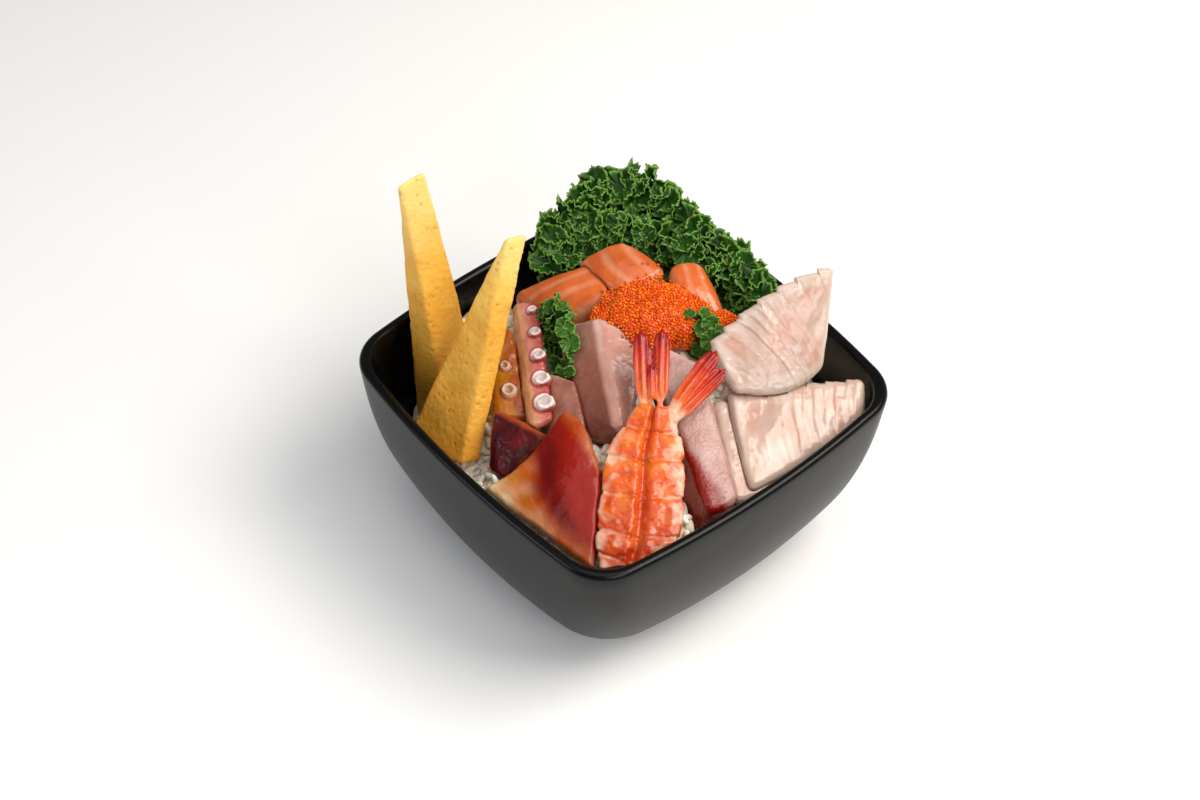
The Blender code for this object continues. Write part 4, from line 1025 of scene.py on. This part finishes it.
def makeRoe():
    generator = random.Random(roe["seed"])
    material = foodMaterial("flyingFishRoe", roe["look"])
    egg = bmesh.new()
    bmesh.ops.create_icosphere(egg, subdivisions=2, radius=1.0)
    shapes = [shapeArrays(egg)]
    around = treeOf(*[name for name in allNodes if not name.startswith(("roe", "kale", "bowl", "rice"))])
    for nodeName, (pieceName, draws) in roe["heaps"].items():
        core, points, normals = refine(pieceName + "Core", nodeName, roe)
        lumps = roe["lump"] * fuzz(points, 3.6) + 0.5 * roe["lump"] * fuzz(points, 1.8)
        movePoints(core, points + normals * (lumps - roe["sink"])[:, None])
        addMasks(core, tone=np.zeros(len(points)))
        low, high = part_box(nodeName)
        floor = low.z / mm
        middle = (low + high) / 2 / mm
        spots = surfaceSpots(core, draws, roe["apart"], generator,
                             lambda point, normal: normal.z > -0.2 and point.z > floor + roe["bareFoot"])
        placements, tones = [], []
        for point, normal in spots:
            radius = generator.uniform(*roe["eggRadius"])
            lifted = point + normal * generator.uniform(0.05, 0.4)
            placements.append((0, lying(lifted, normal, generator.uniform(0, math.tau), (radius,) * 3)))
            tones.append(generator.random() ** 2)
        # loose eggs that rolled off the heap lie on what is round it
        for point, normal in generator.sample(spots, len(spots) // roe["looseOneIn"]):
            outward = Vector((point.x - middle.x, point.y - middle.y, 0)).normalized()
            above = point + outward * generator.uniform(0.4, roe["strewn"])
            hit, hitNormal, _, _ = around.ray_cast(Vector((above.x, above.y, 100)) * mm, Vector((0, 0, -1)))
            if hit is None or hit.z / mm < floor - roe["fallen"] or hitNormal.z < 0.3:
                continue
            radius = generator.uniform(*roe["eggRadius"])
            rest = hit / mm + hitNormal * radius * 0.8
            placements.append((0, lying(rest, hitNormal, 0.0, (radius,) * 3)))
            tones.append(generator.random())
        eggs = joinCopies(pieceName + "Eggs", shapes, placements, tones)
        finishPiece(core, material, "roe", nodeName)
        finishPiece(eggs, material, "roe")


makeRoe()


# Rice: a core under loose cooked grains, which keep clear of every topping

rice = {
    # a grain's half length, width and height, and the least height and clearance at which one lies
    "grain": (3.0, 1.35, 1.2), "lowest": 30, "clear": 1.25,
    "seed": 11, "grid": 1.0, "rounds": 2, "sink": 0.7, "apart": 2.3, "draws": 9000, "tries": 6,
    "look": {
        # cooked short-grain rice: translucent white, a film of moisture on each grain
        "base": "#F6E6CC", "blotch": ("#ECD8B8", 5), "gloss": (0.5, 0.64),
        "grain": (1.2, 0.04), "scatter": (0.55, (2.2, 1.8, 1.4)), "ior": 1.26,
        "layers": [("tone", "#F8F7F0", 0.6)],
    },
}


def makeRice():
    generator = random.Random(rice["seed"])
    material = foodMaterial("cookedRice", rice["look"])
    core, points, normals = refine("riceCore", "rice", rice)
    movePoints(core, points - normals * rice["sink"] * ramp(normals[:, 2], 0.0, 0.4)[:, None])
    addMasks(core, tone=np.zeros(len(points)))
    others = treeOf(*[name for name in allNodes if name != "rice"])
    length, width, height = rice["grain"]

    def clear(point):
        return others.find_nearest(point * mm, rice["clear"] * mm)[0] is None

    def bare(point, normal):
        return normal.z >= 0.25 and point.z >= rice["lowest"] and clear(point)

    placements, tones = [], []
    for point, normal in surfaceSpots(core, rice["draws"], rice["apart"], generator, bare):
        size = generator.uniform(0.85, 1.08)
        spot = point + normal * generator.uniform(0.2, 1.3)
        for _ in range(rice["tries"]):
            tilt = Matrix.Rotation(generator.uniform(-0.5, 0.5), 4, "Y")
            placed = lying(spot, normal, generator.uniform(0, math.tau), (1, 1, 1)) @ tilt
            way = placed.to_3x3() @ Vector((1, 0, 0))
            tips = [spot + way * length * size * 0.75 * side for side in (-1, 1)]
            if all(clear(tip) for tip in tips):
                scale = Matrix.Diagonal((length * size, width * size, height * size, 1))
                placements.append((0, placed @ scale))
                tones.append(generator.random())
                break
    grain = bmesh.new()
    bmesh.ops.create_uvsphere(grain, u_segments=10, v_segments=8, radius=1.0)
    bmesh.ops.rotate(grain, verts=grain.verts, matrix=Matrix.Rotation(math.pi / 2, 3, "Y"))
    # a sphere's points and faces come in another order each time
    across = Vector((1.0, 3.3, 7.7))
    grain.verts.sort(key=lambda vert: vert.co.dot(across))
    grain.verts.index_update()
    grain.faces.sort(key=lambda face: face.calc_center_median().dot(across))
    for vert in grain.verts:
        vert.co.z += 0.18 * vert.co.x ** 2 - 0.06    # a grain is slightly bent
        vert.co.y *= 1 - 0.12 * vert.co.x
    points, faces, masks = shapeArrays(grain)
    faces = [face[face.index(min(face)):] + face[:face.index(min(face))] for face in faces]
    grains = joinCopies("riceGrains", [(points, faces, masks)], placements, tones)
    finishPiece(core, material, "cooked_rice", "rice")
    finishPiece(grains, material, "cooked_rice")


makeRice()


# Curly kale: ruffled leaf sheets covered by small curled lobes

kale = {
    # for each leaf: the piece's name, how many lobes it has and in how many pieces they are joined
    "leaves": {"kale_outer": ("kaleOuter", 320, 2), "kale_inner": ("kaleInner", 140, 1),
               "kale_small_front": ("kaleSmallFront", 60, 1),
               "kale_small_middle": ("kaleSmallMiddle", 44, 1)},
    "seed": 5, "lobe": (3.4, 6.2), "apart": 3.3, "draws": 9000, "columns": 84, "rows": 3, "kinds": 9,
    # a small leaf's lobes against a large one's, and how far its green turns young
    "smallShare": 0.62, "young": 0.2,
    # the leaf's lowest share stays bare, and a lobe stands a little off it
    "stalkShare": 0.28, "leastLobe": 1.8, "lifted": 0.6, "thick": 0.3,
    # how far round it a lobe looks for other food, may lap over that, and reaches against its own size
    "roomWithin": 20, "overhang": 1.2, "reachShare": 1.25,
    "look": {
        # curly kale: waxy dark green blades with painted shade in the hollows, whose crisp edges are
        # lighter, partly painted highlight
        "base": "#27540F", "blotch": ("#1B430C", 6), "gloss": (0.28, 0.46),
        "grain": (1.2, 0.2), "cells": (2.2, 0.25),
        "scatter": (0.1, (0.4, 0.8, 0.1)), "ior": 1.34,
        "layers": [("hollow", "#0C2808", 0.75), ("young", "#6CA634", 0.85), ("rim", "#7CA848", 0.85)],
    },
}


def lobeShape(generator):
    # a disc from a grid bent round a centre, its edge ruffled in three sizes of wave
    work = bmesh.new()
    bmesh.ops.create_grid(work, x_segments=kale["columns"], y_segments=kale["rows"], size=1.0)
    slow, middle, quick = [generator.choice(counts) for counts in ((2, 3), (5, 6, 7), (15, 16, 17))]
    first, second, third, fourth = [generator.uniform(0, math.tau) for _ in range(4)]
    reachOf = {}
    for vert in work.verts:
        angle, reach = math.pi * vert.co.x, 1 - (1 - (vert.co.y + 1) / 2) ** 1.7
        wave = math.sin(middle * angle + second)
        frill = math.sin(quick * angle + third)
        radius = reach * (1 + 0.10 * math.sin(slow * angle + third) + 0.04 * reach ** 3 * wave
                          + 0.10 * reach ** 4 * abs(math.sin(quick * angle / 2 + fourth)))
        swing = angle + 0.08 * reach ** 3 * math.sin(middle * angle + second + 1.5)
        height = (0.25 * reach ** 2 + 0.16 * reach ** 1.6 * math.sin(slow * angle + first)
                  + 0.20 * reach ** 2 * wave + 0.13 * reach ** 3 * frill)
        place = Vector((radius * math.cos(swing), radius * math.sin(swing), height))
        reachOf[rounded(place)] = reach
        vert.co = place
    bmesh.ops.remove_doubles(work, verts=work.verts, dist=0.001)
    reach = np.array([reachOf.get(rounded(vert.co), 0.0) for vert in work.verts])
    # the lobe's centre gets painted shade; its lighter rim is partly the leaf's edge, partly painted
    # highlight
    return shapeArrays(work, {"rim": ramp(reach, 0.88, 1.0), "hollow": ramp(reach, 0.6, 0.1)})


def makeKale():
    generator = random.Random(kale["seed"])
    material = foodMaterial("curlyKale", kale["look"])
    shapes = [lobeShape(generator) for _ in range(kale["kinds"])]
    leafNames = list(kale["leaves"])
    others = treeOf(*[name for name in allNodes if name not in leafNames])
    limit = bowlShape["rimHalf"]
    for nodeName, (pieceName, most, parts) in kale["leaves"].items():
        blade = linkMesh(pieceName + "Blade", nodeMesh(nodeName))
        ruffle = blade.modifiers.new("soft ruffles", "SUBSURF")
        ruffle.levels = ruffle.render_levels = 2
        applyModifiers(blade)
        low, high = [corner.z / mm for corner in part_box(nodeName)]
        start = low + (high - low) * kale["stalkShare"]
        small = "Small" in pieceName
        spots = surfaceSpots(blade, kale["draws"], kale["apart"], generator,
                             lambda point, normal: point.z > start)
        placements = []
        for point, normal in spots:
            if len(placements) >= most:
                break
            drift = Vector([generator.uniform(-1, 1) for _ in range(3)])
            facing = (normal * 0.8 + Vector((0, 0, 0.55)) + drift * 0.45).normalized()
            size = generator.uniform(*kale["lobe"]) * (kale["smallShare"] if small else 1.0)
            room = others.find_nearest(point * mm, kale["roomWithin"] * mm)[3]
            if room is not None:
                size = min(size, room / mm + kale["overhang"])
            outermost = max(abs(point.x), abs(point.y)) + size * kale["reachShare"]
            if size < kale["leastLobe"] or outermost > limit:
                continue
            shape = generator.randrange(kale["kinds"])
            spin = generator.uniform(0, math.tau)
            foot = point + facing * kale["lifted"]
            placements.append((shape, lying(foot, facing, spin, (size,) * 3)))
        points, _ = pointsOf(blade)
        # the blade: painted shade over all of it, as it lies under the lobes, and lighter towards its top
        addMasks(blade, rim=ramp(points[:, 2], high - 4, high) * 0.3, hollow=np.full(len(points), 0.6))
        finishPiece(blade, material, "kale", nodeName)
        for part in range(parts):
            curls = joinCopies(f"{pieceName}Curls{part + 1}", shapes, placements[part::parts])
            wall = curls.modifiers.new("leaf thickness", "SOLIDIFY")
            wall.thickness = kale["thick"] * mm
            wall.offset = 0.0
            applyModifiers(curls)
            addMasks(curls, young=np.full(len(curls.data.vertices), kale["young"] if small else 0.0))
            finishPiece(curls, material, "kale")


makeKale()
